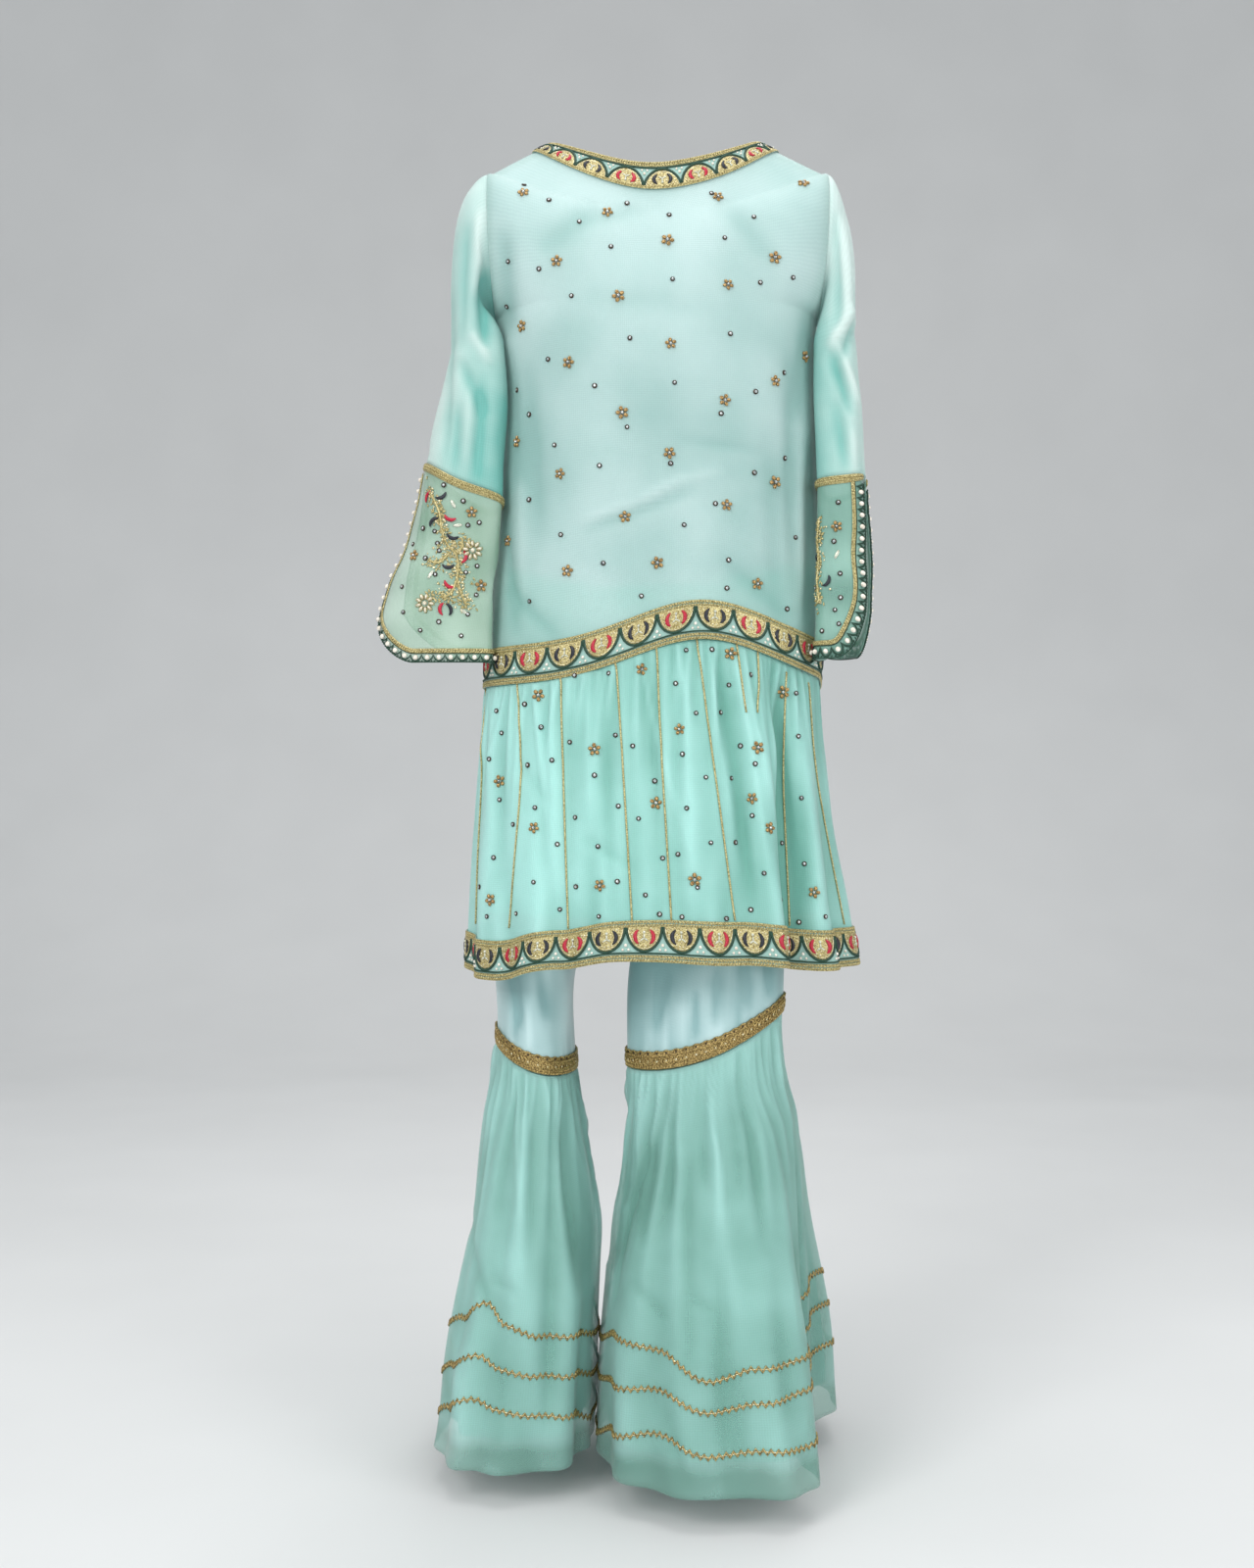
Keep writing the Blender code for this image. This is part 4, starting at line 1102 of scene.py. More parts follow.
SKIRT_FALLS = np.concatenate((
    np.linspace(0, 0.30, 24), np.linspace(0.30, 1 - HEM_BORDER_HEIGHT / SKIRT_LENGTH, 28)[1:],
    np.linspace(1 - HEM_BORDER_HEIGHT / SKIRT_LENGTH, 1.0, HEM_BORDER_ROWS)[1:],
))

# long soft folds from the waist, a sharper one beside the deep fold, and a slanting pull
SKIRT_CREASES = {
    "front": table(
        CREASE,
        (-118, 590, -124, 850, 9, 3), (-78, 580, -70, 800, 10, -3),
        (-60, 575, -46, 860, 6, 2.6), (-12, 565, 4, 790, 5, 3),
        (30, 562, 44, 860, 12, -3.4), (62, 562, 105, 870, 7, 4.4),
        (85, 565, 122, 850, 5, -3), (120, 580, 150, 870, 8, 4.6),
        (150, 600, 176, 840, 7, -3), (-165, 610, -172, 850, 8, 3),
        (-80, 770, -20, 802, 6, 2.2), (-150, 690, -105, 745, 6, 1.6),
    ),
    "back": table(
        CREASE,
        (-140, 600, -150, 860, 9, 3.6), (-85, 600, -95, 850, 8, -3),
        (-30, 600, -24, 870, 10, 4), (35, 600, 50, 840, 7, -2.6),
        (80, 600, 100, 860, 9, 4.2), (135, 605, 155, 850, 8, 3),
    ),
}


def skirt_point(angle, fall):
    """Points on the outer face of the gathered skirt."""
    angle, fall = np.broadcast_arrays(angle, fall)
    across, through = cos_deg(angle), sin_deg(angle)
    squareness = smooth(BODICE_LINES, "place", "round", 0.0)
    width = np.where(across >= 0, smooth(SKIRT_RINGS, "fall", "right", fall),
                     smooth(SKIRT_RINGS, "fall", "left", fall))
    depth = smooth(SKIRT_RINGS, "fall", "front" if through.mean() < 0 else "back", fall)
    fold = around(SKIRT_FOLDS, "out", angle) * fall ** FOLD_GROWTH
    seam = -bodice_point(angle, 0.0)[..., 2]
    hem = around(SKIRT_HEM, "drop", angle)
    return points_of(width * signed_power(across, squareness) + fold * across,
                     depth * signed_power(through, squareness) + fold * through,
                     -(seam + SEAM_GAP + (hem - seam) * fall))


def gathered(points, count, depth, reach, seed, closed=False):
    """Relief of the small gathers below a seam: uneven ridges that die out down the cloth."""
    rng = np.random.default_rng(seed)
    along = np.linalg.norm(np.diff(points, axis=1, append=points[:, :1]), axis=-1)
    along = np.concatenate((np.zeros((len(points), 1)), np.cumsum(along[:, :-1], axis=1)), axis=1)
    girth = along[0, -1]
    share = along / along[:, -1:]
    down = lengths(points, 0)[:, None]
    relief = np.zeros(points.shape[:2])
    for ridge in range(count):
        centre = (ridge + rng.uniform(0.15, 0.85)) / count
        lean = rng.normal(0, 0.08) / girth
        wide = rng.uniform(0.20, 0.42) / count
        length = reach * rng.uniform(0.35, 1.6)
        gap = share - centre - lean * down
        if closed:
            gap = np.mod(gap + 0.5, 1.0) - 0.5
        widening = wide * (1 + down / length)
        ridge_height = depth * rng.uniform(0.5, 1.3)
        relief += ridge_height * np.exp(-(gap / widening) ** 2 - (down / length) ** 2)
    return (relief - depth * 0.5 * np.exp(-(down / reach) ** 2)) * (1 - np.exp(-(down / 0.004)))


skirt_cloths, skirt_panels = {}, {}
for half, columns in SKIRT_COLUMNS.items():
    base = half_grid(half, skirt_point, SKIRT_FALLS, columns)
    gathers = gathered(base, WAIST_GATHERS[half], SKIRT_GATHER_DEPTH, SKIRT_GATHER_REACH,
                       31 if half == "front" else 32)
    ripple = wander(base[..., 0], base[..., 2] * 0.12, 0.030, 33)
    ripple = ripple * np.clip(SKIRT_FALLS * 3, 0, 1)[:, None]
    folds = creased(base, SKIRT_CREASES[half])
    relief = gathers + SKIRT_RIPPLE * ripple + folds
    skirt_panels[half] = moved_out(base, relief * end_fade(columns + 1, 14))
    angles = np.linspace(*HALVES[half], columns + 1)
    deep_fold = around(SKIRT_FOLDS, "out", angles)[None, :] * SKIRT_FALLS[:, None] ** FOLD_GROWTH
    # painted light towards the left side, painted shade towards the right
    painted_light_share = np.clip((-base[..., 0] - 0.06) / 0.06, 0, 1)
    painted_shade_share = np.clip(base[..., 0] / 0.1, 0, 1)
    # painted shade in the gathers, creases and inward folds, painted light on ripples and outward folds
    tone = (-gathers / GATHER_SHADE - 0.35 * ripple - folds / CREASE_SHADE
            - deep_fold / LARGE_FOLD_SHADE - PAINTED_LIGHT_LEFT * painted_light_share + PAINTED_SHADE_RIGHT * painted_shade_share)
    piece = make_cloth("skirt_" + half + "_chiffon", skirt_panels[half], chiffon, tone=tone)
    skirt_cloths[half] = own_piece(piece, "aqua_chiffon", "skirt_" + half)

# ---- Cords, flowers and stones on the skirt ------------------------------------------------
# Fine gilt cords couched from the waist to the hem, as panel lines, with the bodice's bead
# flowers and crystals scattered between them.

CORD_RADIUS = 0.0013
SKIRT_CORDS = (
    ((-186, 610), (-190, 700), (-196, 868)),
    ((-148, 606), (-145, 650), (-143, 715), (-156, 868)),
    ((-101, 585), (-99, 680), (-92, 866)),
    ((-46, 566), (-41, 600), (-34, 720), (-26, 857)),
    ((0, 562), (4, 660), (15, 857)),
    ((42, 560), (52, 640), (81, 857)),
    ((84, 566), (88, 602), (94, 640)),
    ((107, 575), (109, 602), (106, 640)),
    ((139, 596), (136, 715), (142, 866)),
    ((165, 606), (172, 694), (190, 790), (205, 868)),
)
BACK_CORDS = (-0.150, -0.098, -0.046, 0.004, 0.054, 0.104, 0.152)
SKIRT_FLOWERS = table(
    SPOT,
    (-125, 621), (-16, 595), (136, 617), (-65, 679), (24, 658), (106, 677), (-168, 712), (-1, 735),
    (-129, 761), (118, 761), (-59, 820), (39, 814), (-177, 839), (78, 578), (168, 830), (100, 730),
)
SKIRT_STONES = table(
    SPOT,
    (-86, 600), (-50, 599), (31, 575), (58, 574), (20, 610), (76, 611), (99, 600), (150, 618),
    (-172, 636), (-166, 660), (-122, 655), (-140, 630), (-91, 671), (-43, 664), (-25, 675), (41, 641),
    (67, 640), (27, 684), (88, 675), (152, 664), (-180, 688), (-136, 695), (-110, 690), (-65, 706),
    (-2, 712), (51, 708), (78, 709), (103, 694), (-168, 732), (-128, 740), (-85, 750), (-40, 738),
    (-19, 751), (31, 740), (100, 748), (155, 730), (-152, 758), (-104, 778), (-61, 780), (6, 792),
    (22, 788), (56, 776), (82, 776), (134, 778), (-174, 794), (-129, 818), (-84, 822), (-41, 816),
    (-12, 830), (42, 822), (112, 808), (158, 800), (-190, 826), (-101, 846), (-60, 852), (3, 850),
    (26, 853), (72, 855), (98, 846), (132, 838), (152, 862), (180, 856), (-181, 857), (-148, 852),
)


def softened(values, times):
    """A line of values eased in place towards their neighbours, with both ends kept."""
    for _ in range(times):
        values[1:-1] = (values[:-2] + 2 * values[1:-1] + values[2:]) / 4
    return values


def rounded_line(stops, spacing):
    """A smooth line of places a few millimetres apart, through stops given in millimetres."""
    stops = np.array(stops) / 1000
    at = run_of(stops)
    fine = np.linspace(0, at[-1], max(4, int(at[-1] / spacing)))
    return softened(np.stack([np.interp(fine, at, stops[:, k]) for k in range(2)], -1), 6)


def couched(panel, row, column, radius):
    """A gilt cord with its short holding stitches, which stand as small beads on it."""
    beads = np.arange(0, len(row) - 1, 0.75)
    steps = np.arange(len(row))
    at_row, at_column = np.interp(beads, steps, row), np.interp(beads, steps, column)
    return [corded(panel, row, column, radius * 0.8, 0, 5),
            laid(small_knot, panel, at_row, at_column, pi / 2 + 0.5)]


skirt = {half: panel_of(points) for half, points in skirt_panels.items()}
hem_row = len(SKIRT_FALLS) - HEM_BORDER_ROWS
shapes = []
for stops in SKIRT_CORDS:
    row, column = (softened(places, 24) for places in
                   seen_at(skirt["front"], rounded_line(stops, 0.005)))
    shapes += couched(skirt["front"], row, column, CORD_RADIUS)
front_cords = make_trim("skirt_cords_front", shapes, [zari])
shapes = []
back_top = skirt["back"].points[0, :, 0]
for x in BACK_CORDS:
    start = np.interp(-x, -back_top, np.arange(len(back_top)))
    row = np.linspace(0, hem_row, 60)
    shapes += couched(skirt["back"], row, np.full(row.shape, start), CORD_RADIUS)
back_cords = make_trim("skirt_cords_back", shapes, [zari])
for piece in (front_cords, back_cords):
    own_piece(piece, "zari_border")
skirt_jewels = jewelled("skirt", skirt["front"], SKIRT_FLOWERS, SKIRT_STONES, 41)

# ---- Hem border -----------------------------------------------------------------------------
# The same ready-made zari border as at the waist, sewn flat on the hem of the gathered skirt,
# one length in front and one behind, so it rides over the folds and turns the corner with them.

hem_rows = slice(-HEM_BORDER_ROWS, None)
for half in HALVES:
    trims = make_border("hem_border_" + half + "_zari", skirt_panels[half][hem_rows],
                        HEM_BORDER_HEIGHT, -0.052, "hem_border_" + half)
    trims += [front_cords, *skirt_jewels] if half == "front" else [back_cords]

# ---- Sleeves --------------------------------------------------------------------------------
# Three-quarter sleeves of the same chiffon, unlined, set in with a little fullness at the cap.
# They hang with the arm down, creased where the elbow bends.

ARM = "drop out into fore aft"
SLEEVE_RINGS = {
    "left": table(
        ARM,
        (235, 229, 180, 76, 66),
        (300, 239, 177.5, 80, 50),
        (370, 255, 179, 83, 38),
        (430, 267, 182.5, 84, 26),
        (500, 292, 188, 86, 12),
        (540, 303, 191, 87, 8),
        (600, 302, 193, 87, 8),
    ),
    "right": table(
        ARM,
        (235, 226, 186, 78, 66),
        (300, 229, 188.5, 83, 58),
        (370, 232, 190.5, 90, 50),
        (430, 235, 191.5, 97, 47),
        (500, 237, 191.5, 104, 44),
        (540, 235, 191.5, 108, 42),
        (600, 230, 191.5, 108, 42),
    ),
}
CAP_FULLNESS = {"left": 0.60, "right": 0.30}
CAP_SLOPE = 0.25
CUFF_SEAM_DROP = {"left": 0.385, "right": 0.383}
CUFF_SEAM_SLANT = {"left": 0.024, "right": 0.004}
SLEEVE_COLUMNS = 92
SLEEVE_FALLS = np.concatenate((np.linspace(0, 1, 34), np.linspace(1, 2, 30)[1:]))
SEAM_ALLOWANCE, SEAM_TUCK = 0.0040, 0.0016
SLEEVE_SWELL = 0.0012
# the depth of crease that deepens the tone by one, as painted shade
SLEEVE_CREASE_SHADE = 0.0060
SLEEVE_PALENESS = {"left": 0.65, "right": 0.90}
# A fold of the sleeve and the cuff rests against the side of the bodice: where it lies round
# the arm, and how far it comes, by drop.
INNER_FOLD_ANGLE = {"left": 318.0, "right": 222.0}
INNER_FOLD_SPREAD = 32.0
INNER_FOLD_LEAN = 0.40
REACH = "drop along"
INNER_FOLD_REACH = {
    "left": table(REACH, (235, 20), (300, 23), (400, 23), (500, 24), (600, 28)),
    "right": table(REACH, (235, 18), (300, 21), (400, 21), (500, 24), (600, 27)),
}
SLEEVE_CREASES = {
    "left": table(
        CREASE,
        (-190, 85, -196, 190, 6, -5), (-186, 150, -184, 245, 7, 7.5),
        (-206, 100, -212, 250, 7, 4), (-200, 225, -178, 262, 6, -4.4),
        (-213, 255, -182, 320, 7, 5), (-186, 270, -192, 392, 6, 4.8),
        (-200, 280, -205, 395, 6, -3.4), (-224, 170, -228, 390, 6, 3.6),
        (-240, 200, -246, 380, 9, -2.6), (-214, 300, -218, 390, 5, 3),
    ),
    "right": table(
        CREASE,
        (196, 85, 197, 230, 6, 5), (208, 90, 210, 210, 6, -3.4),
        (216, 196, 186, 246, 6, -6), (222, 212, 196, 262, 6, 5),
        (188, 246, 212, 320, 6, 5.8), (196, 236, 220, 312, 5, -4),
        (194, 300, 204, 384, 7, 4.6), (210, 330, 214, 384, 6, -3),
        (224, 140, 226, 300, 7, 2.4),
    ),
}


def cuff_seam_drop(side, angle):
    """Drop of the seam between sleeve and cuff, lower towards the body."""
    return CUFF_SEAM_DROP[side] - CUFF_SEAM_SLANT[side] * cos_deg(angle) * SIDE_SIGN[side]


def inner_fold(side, angle):
    """Share of the fold beside the bodice, 1 at its crest."""
    away = np.mod(angle - INNER_FOLD_ANGLE[side] + 180, 360) - 180
    return np.exp(-(away / INNER_FOLD_SPREAD) ** 2)


def arm_point(side, angle, drop):
    """Points of the hanging sleeve or cuff, at the rings of their drops."""
    out, into, fore, aft = (smooth(SLEEVE_RINGS[side], "drop", column, drop)
                            for column in ("out", "into", "fore", "aft"))
    reach = smooth(INNER_FOLD_REACH[side], "drop", "along", drop) * inner_fold(side, angle)
    x = SIDE_SIGN[side] * (out + into) / 2 + (out - into) / 2 * cos_deg(angle)
    y = (aft - fore) / 2 + (aft + fore) / 2 * sin_deg(angle)
    return points_of(x - SIDE_SIGN[side] * reach, y - INNER_FOLD_LEAN * reach, -drop)


def sleeve_point(side, angle, fall):
    """Points of the sleeve: fall 0 armhole, 1 below the underarm, 2 cuff seam."""
    angle, fall = np.broadcast_arrays(angle, fall)
    sign, first_drop = SIDE_SIGN[side], SLEEVE_RINGS[side][0].drop
    seam = cuff_seam_drop(side, angle) - SEAM_GAP
    lower = arm_point(side, angle, first_drop + (seam - first_drop) * np.clip(fall - 1, 0, 1))
    start = armhole_point(side, angle) + (sign * ARMHOLE_GAP, 0, 0)
    end = arm_point(side, angle, np.full(angle.shape, first_drop))
    span = np.linalg.norm(end - start, axis=-1, keepdims=True)
    outward_push = np.array((sign, 0.0, -CAP_SLOPE)) * span * CAP_FULLNESS[side]
    downward_push = np.array((0.0, 0.0, -1.0)) * span
    share = np.minimum(fall, 1.0)[..., None]
    left = 1 - share
    upper = (start * (1 + 2 * share) * left ** 2 + outward_push * share * left ** 2
             + end * share ** 2 * (3 - 2 * share) - downward_push * share ** 2 * left)
    return np.where((fall > 1)[..., None], lower, upper)


# the sleeves' chiffon: the same weave with nothing behind it, so it looks paler
sleeve_chiffon = woven_cloth("crepe_chiffon_woven_unlined", "E4F7F2", "76C4BA", alpha=0.54,
                             roughness=0.75, sheen=0.10)

for side in ("left", "right"):
    turns = np.linspace(0, 360, SLEEVE_COLUMNS, endpoint=False)
    base = sleeve_point(side, turns[None, :], SLEEVE_FALLS[:, None])
    folds = creased(base, SLEEVE_CREASES[side])
    swell = wander(base[..., 0] + base[..., 1], base[..., 2] * 0.4, 0.05, 51)
    fade = np.clip(np.minimum(SLEEVE_FALLS, 2 - SLEEVE_FALLS) * 5, 0, 1)[:, None]
    panel = moved_out(base, (folds + SLEEVE_SWELL * swell) * fade, closed=True)
    beside = inner_fold(side, turns)[None, :] * np.clip(SLEEVE_FALLS * 2 - 0.8, 0, 1)[:, None]
    hole = armhole_point(side, turns)
    tuck = hole + unit(hole.mean(axis=0) - hole) * SEAM_TUCK
    tuck[:, 0] -= SIDE_SIGN[side] * SEAM_ALLOWANCE
    panel = np.concatenate((tuck[None], panel))
    # painted shade on the side towards the body, in the fold beside the bodice and in the creases;
    # painted light on the swells
    inner_side_painted_shade = (1 - SIDE_SIGN[side] * cos_deg(turns))[None, :] / 2
    tone = (-folds / SLEEVE_CREASE_SHADE - 0.20 * swell - SLEEVE_PALENESS[side]
            + inner_side_painted_shade + 0.5 * beside)
    tone = np.concatenate((tone[:1], tone))
    piece = make_cloth("sleeve_" + side + "_chiffon", panel, sleeve_chiffon, closed=True, tone=tone)
    own_piece(piece, "aqua_chiffon", "sleeve_" + side)

# ---- Cuffs ----------------------------------------------------------------------------------
# Flared cuffs of crisp sage organza, open down the outer side with rounded corners. A gilt
# braid covers the seam, and a beaded green scallop edges the opening and the bottom.

CUFF_HEM_DROP = {"left": 0.584, "right": 0.581}
CUFF_CORNER = 0.050
CUFF_BACK_RISE = 0.009
CUFF_CORNER_SHARE = {"left": 0.23, "right": 0.17}
CUFF_CORNER_POWER = {"left": 1.5, "right": 2.0}
CUFF_BRAID_WIDTH = 0.009
CUFF_HEIGHT = 0.195
CUFF_SWELL = 0.0014
CUFF_COLUMNS, CUFF_ROWS, BRAID_ROWS = 100, 34, 5
# the edging of the cuffs, by how far its lines lie from their rim
RIM_CORD, INNER_CORD = 0.0015, 0.0103
RIM_KNOTS = (0.0028, 0.0012)
RIM_KNOT_PITCH = 0.0034
SCALLOP_PITCH = 0.0126
SCALLOP_FOOT, SCALLOP_DEPTH = 0.0090, 0.0062
SCALLOP_PEARL = 0.0064
EDGE_BRAID, EDGE_BRAID_WIDTH = 0.0108, 0.0044
EDGE_OUT = 0.0010
EDGE_STEPS, EDGE_SIDE_ROWS = 7, 44
EDGE_LIFT = 0.0006
EDGE_IN = {"left": 0.0140, "right": 0.0200}
SLIT = "fall* first* last*"
CUFF_SLITS = {
    "left": table(SLIT, (0, 182, 532), (1, 184, 490)),
    "right": table(SLIT, (0, -14, 298), (1, -8, 294)),
}


def cuff_point(side, around_share, fall):
    """Points of the cuff: around_share runs from slit to slit, fall from seam to edge."""
    around_share, fall = np.broadcast_arrays(around_share, fall)
    first = smooth(CUFF_SLITS[side], "fall", "first", fall)
    last = smooth(CUFF_SLITS[side], "fall", "last", fall)
    angle = first + (last - first) * around_share
    to_slit = np.minimum(around_share, 1 - around_share)
    corner = np.maximum(0.0, 1 - to_slit / CUFF_CORNER_SHARE[side]) ** CUFF_CORNER_POWER[side]
    seam = cuff_seam_drop(side, angle) + SEAM_GAP
    rise = CUFF_CORNER * corner + CUFF_BACK_RISE * np.clip(sin_deg(angle) + 0.3, 0, 1)
    return arm_point(side, angle, seam + (CUFF_HEM_DROP[side] - rise - seam) * fall)


def edge_strip(panel, start, wide):
    """A strip of cloth along a cuff's open edge: down one side, along the bottom and up."""
    last_row, last_column = panel.points.shape[0] - 1, panel.points.shape[1] - 1
    side_rows = np.linspace(start, last_row, EDGE_SIDE_ROWS)
    row = np.concatenate((side_rows, np.full(last_column - 1, last_row), side_rows[::-1]))
    column = np.concatenate((np.zeros(EDGE_SIDE_ROWS), np.arange(1, last_column),
                             np.full(EDGE_SIDE_ROWS, last_column)))
    line = softened(on_cloth(panel, row, column), 3)
    facing = unit(sample(panel.facing, row, column))
    outside = unit(np.cross(np.gradient(line, axis=0), facing))
    for _ in range(8):
        outside[1:-1] = unit(outside[:-2] + 2 * outside[1:-1] + outside[2:])
    strip = [on_cloth(panel, row, column, EDGE_LIFT) + outside * EDGE_OUT,
             on_cloth(panel, row, column, EDGE_LIFT)]
    for _ in range(EDGE_STEPS):
        low_row, low_column = np.clip(row, 0.5, last_row - 0.5), np.clip(column, 0.5, last_column - 0.5)
        by_row = (sample(panel.points, low_row + 0.5, column)
                  - sample(panel.points, low_row - 0.5, column))
        by_column = (sample(panel.points, row, low_column + 0.5)
                     - sample(panel.points, row, low_column - 0.5))
        slopes = np.stack((by_row, by_column), -1)
        step = np.einsum("nij,nj->ni", np.linalg.pinv(slopes), -outside * wide / EDGE_STEPS)
        row, column = softened(row + step[:, 0], 1), softened(column + step[:, 1], 1)
        strip.append(on_cloth(panel, row, column, EDGE_LIFT))
    return panel_of(np.array(strip[::-1]))


# organza: a stiff, very sheer plain weave of fine filament; sage at the left, bluer at the right
organza = {
    "left": woven_cloth("sage_organza_woven", "BFDCC9", "93B8A0", alpha=0.48, roughness=0.4,
                        thread=0.0016),
    "right": woven_cloth("aqua_organza_woven", "A5D3C4", "76A898", alpha=0.52, roughness=0.4,
                         thread=0.0016),
}
cuff_panels, cuff_pieces = {}, {}
for side in ("left", "right"):
    shares = np.linspace(0, 1, CUFF_COLUMNS)
    braid_share = CUFF_BRAID_WIDTH / CUFF_HEIGHT
    falls = np.concatenate((np.linspace(0, braid_share, BRAID_ROWS),
                            np.linspace(braid_share, 1, CUFF_ROWS)[1:]))
    base = cuff_point(side, shares[None, :], falls[:, None])
    swell = wander(base[..., 0] + base[..., 1], base[..., 2], 0.06, 61)
    points = moved_out(base, CUFF_SWELL * swell * np.sin(falls * pi)[:, None])
    cuff_panels[side] = panel_of(points)
    # painted light along the right cuff's back edge, paling the inside that lies in shade
    back_edge_painted_light = np.clip(1 - shares / 0.2, 0, 1)[None, :] if side == "right" else 0
    tone = 0.9 * swell - 1.6 * back_edge_painted_light
    piece = make_cloth("cuff_" + side + "_organza", points, organza[side], tone=tone)
    own_piece(piece, "sage_organza", "cuff_" + side)
    cuff_pieces[side] = [piece]
    band = band_on(points[:BRAID_ROWS], CUFF_BRAID_WIDTH)
    tape = make_cloth("cuff_braid_" + side + "_tape", band.panel.points, zari, wall=BORDER_WALL)
    own_piece(tape, "gold_braid", "cuff_braid_" + side)
    plait = make_trim("cuff_braid_" + side + "_plait", braid_on(band, 0.0012, 0.0082), [zari])
    own_piece(plait, "gold_braid")
    wide = EDGE_IN[side]
    strip = edge_strip(cuff_panels[side], BRAID_ROWS, wide)
    edge = Band(strip, 0, len(strip.points) - 1, lengths(strip.points, 1), wide + EDGE_OUT, False)
    length = edge.run[-1]
    scale = wide / EDGE_IN["left"]
    along = np.arange(SCALLOP_PITCH / 2, length, SCALLOP_PITCH)
    fine = np.arange(0, length, SCALLOP_PITCH / 10)
    arch = np.abs(np.sin(pi * fine / SCALLOP_PITCH)) ** 0.6
    rim = np.arange(0.001, length, RIM_KNOT_PITCH)
    line = places_along(length)
    shapes = [
        cord_on(edge, fine, (SCALLOP_FOOT - SCALLOP_DEPTH * arch) * scale, 0.0008 * scale, 1, 5),
        cord_on(edge, line, RIM_CORD, 0.0007, 1, 5),
        cord_on(edge, line, INNER_CORD * scale, 0.0005, 1, 5),
        sewn(raised(small_knot, 0.0004), edge, rim, RIM_KNOTS[0] * scale, 0.9, finish=1),
        sewn(raised(small_knot, 0.0006), edge, rim, RIM_KNOTS[1], pi / 2, finish=1),
        sewn(raised(pearl_bead, 0.0004), edge, along, SCALLOP_PEARL * scale, size=1.35, finish=2),
    ]
    shapes += braid_on(edge, EDGE_BRAID * scale, EDGE_BRAID * scale + EDGE_BRAID_WIDTH)
    scallops = make_trim("cuff_border_" + side + "_beaded", shapes,
                         [zari, green_silk, glass_pearl, gilt_sequins])
    own_piece(scallops, "zari_border", "cuff_border_" + side)
    cuff_pieces[side] += [tape, plait, scallops]

# ---- Embroidery on the cuffs ------------------------------------------------------------------
# A gilt vine climbs the front of each cuff, thick with beads. Pearl flowers, satin crescents
# and small leaves sit along it, and crystals are scattered round it.

VINES = {
    "left": (
        ((-246, 396), (-239, 408), (-232, 422), (-231, 440), (-225, 459), (-213, 468), (-212, 480),
         (-213, 495), (-219, 511), (-229, 516)),
        ((-244, 474), (-238, 480), (-230, 478), (-222, 466)),
        ((-213, 468), (-206, 462), (-208, 452)),
        ((-213, 495), (-209, 512), (-203, 524)),
    ),
    "right": (
        ((176, 430), (174, 454), (176, 475), (173, 497), (175, 522)),
    ),
}
VINE_BEADS = {"left": 430, "right": 150}
# how far the beads stray from their vine, in rows and in columns of the cuff
VINE_SPREAD = np.array(((0.9,), (0.9 * 1.6,)))
MARK = "x drop turn*"
RED_MARKS = {
    "left": table(
        MARK,
        (-247, 403, 180), (-222, 431, -90), (-204, 472, 0), (-223, 503, -115), (-232, 527, 180),
    ),
    "right": (),
}
BLACK_MARKS = {
    "left": table(
        MARK,
        (-230, 407, -40), (-240, 431, 160), (-219, 451, -90), (-223, 483, -80), (-220, 527, 20),
    ),
    "right": table(MARK, (170, 472, 70), (184, 500, -30)),
}
KUNDAN_FLOWERS = {"left": table(SPOT, (-197, 464), (-248, 521)), "right": ()}
GILT_FLOWERS = {
    "left": table(
        SPOT,
        (-214, 460), (-235, 514), (-206, 521), (-232, 424), (-226, 446), (-213, 489), (-243, 512),
        (-222, 515), (-205, 455),
    ),
    "right": table(SPOT, (176, 450), (174, 516), (175, 480)),
}
SILVER_LEAVES = {
    "left": table(MARK, (-218, 414, -40), (-213, 437, 20), (-206, 530, -30), (-242, 490, 70)),
    "right": table(MARK, (193, 470, 60)),
}
CUFF_FLOWERS = {
    "left": table(SPOT, (-198, 423), (-261, 468), (-188, 502)),
    "right": table(SPOT, (193, 440)),
}
CUFF_STONES = {
    "left": table(
        SPOT,
        (-228, 392), (-207, 411), (-202, 437), (-190, 434), (-238, 443), (-235, 456), (-233, 464),
        (-248, 472), (-237, 490), (-192, 481), (-204, 488), (-263, 455), (-209, 556), (-202, 533),
        (-193, 512), (-272, 530), (-253, 550), (-274, 502), (-233, 541), (-251, 439),
    ),
    "right": table(
        SPOT,
        (195, 414), (190, 456), (196, 491), (196, 517), (190, 530), (194, 545), (177, 552), (172, 505),
    ),
}

kundan_petal = bead(0.0034, 0.0017, 0.0026, segments=6, rings=5, finish=5)
kundan_seat = bead(0.0042, 0.0025, 0.0014, finish=0)
kundan_flower = together(ring_of(kundan_petal, 9, 0.0074) + ring_of(kundan_seat, 9, 0.0074)
                         + [bead(0.0028, 0.0028, 0.0026, finish=5)])
silver_leaf = bead(0.0058, 0.0021, 0.0009, segments=8, rings=5, finish=6)
gilt_petal = bead(0.0026, 0.0013, 0.0013)
gilt_flower = together(ring_of(gilt_petal, 7, 0.0044) + [sequin])


# kundan: foil-backed glass set in gilt, champagne, with a clear face
kundan = grained("kundan_glass_foil_backed", "F0E9D6", "B8AC8E", 0.0022, Roughness=0.15,
                 Coat_Weight=0.8, Metallic=0.2)


def marked(shape, panel, marks, finish):
    """Copies of a shape at marks on the front of a panel, each at its own turn in degrees."""
    row, column = seen_at(panel, [mark[:2] for mark in marks])
    turns = np.radians([mark.turn for mark in marks])
    return finished(laid(shape, panel, row, column, turns, 0.95), finish)


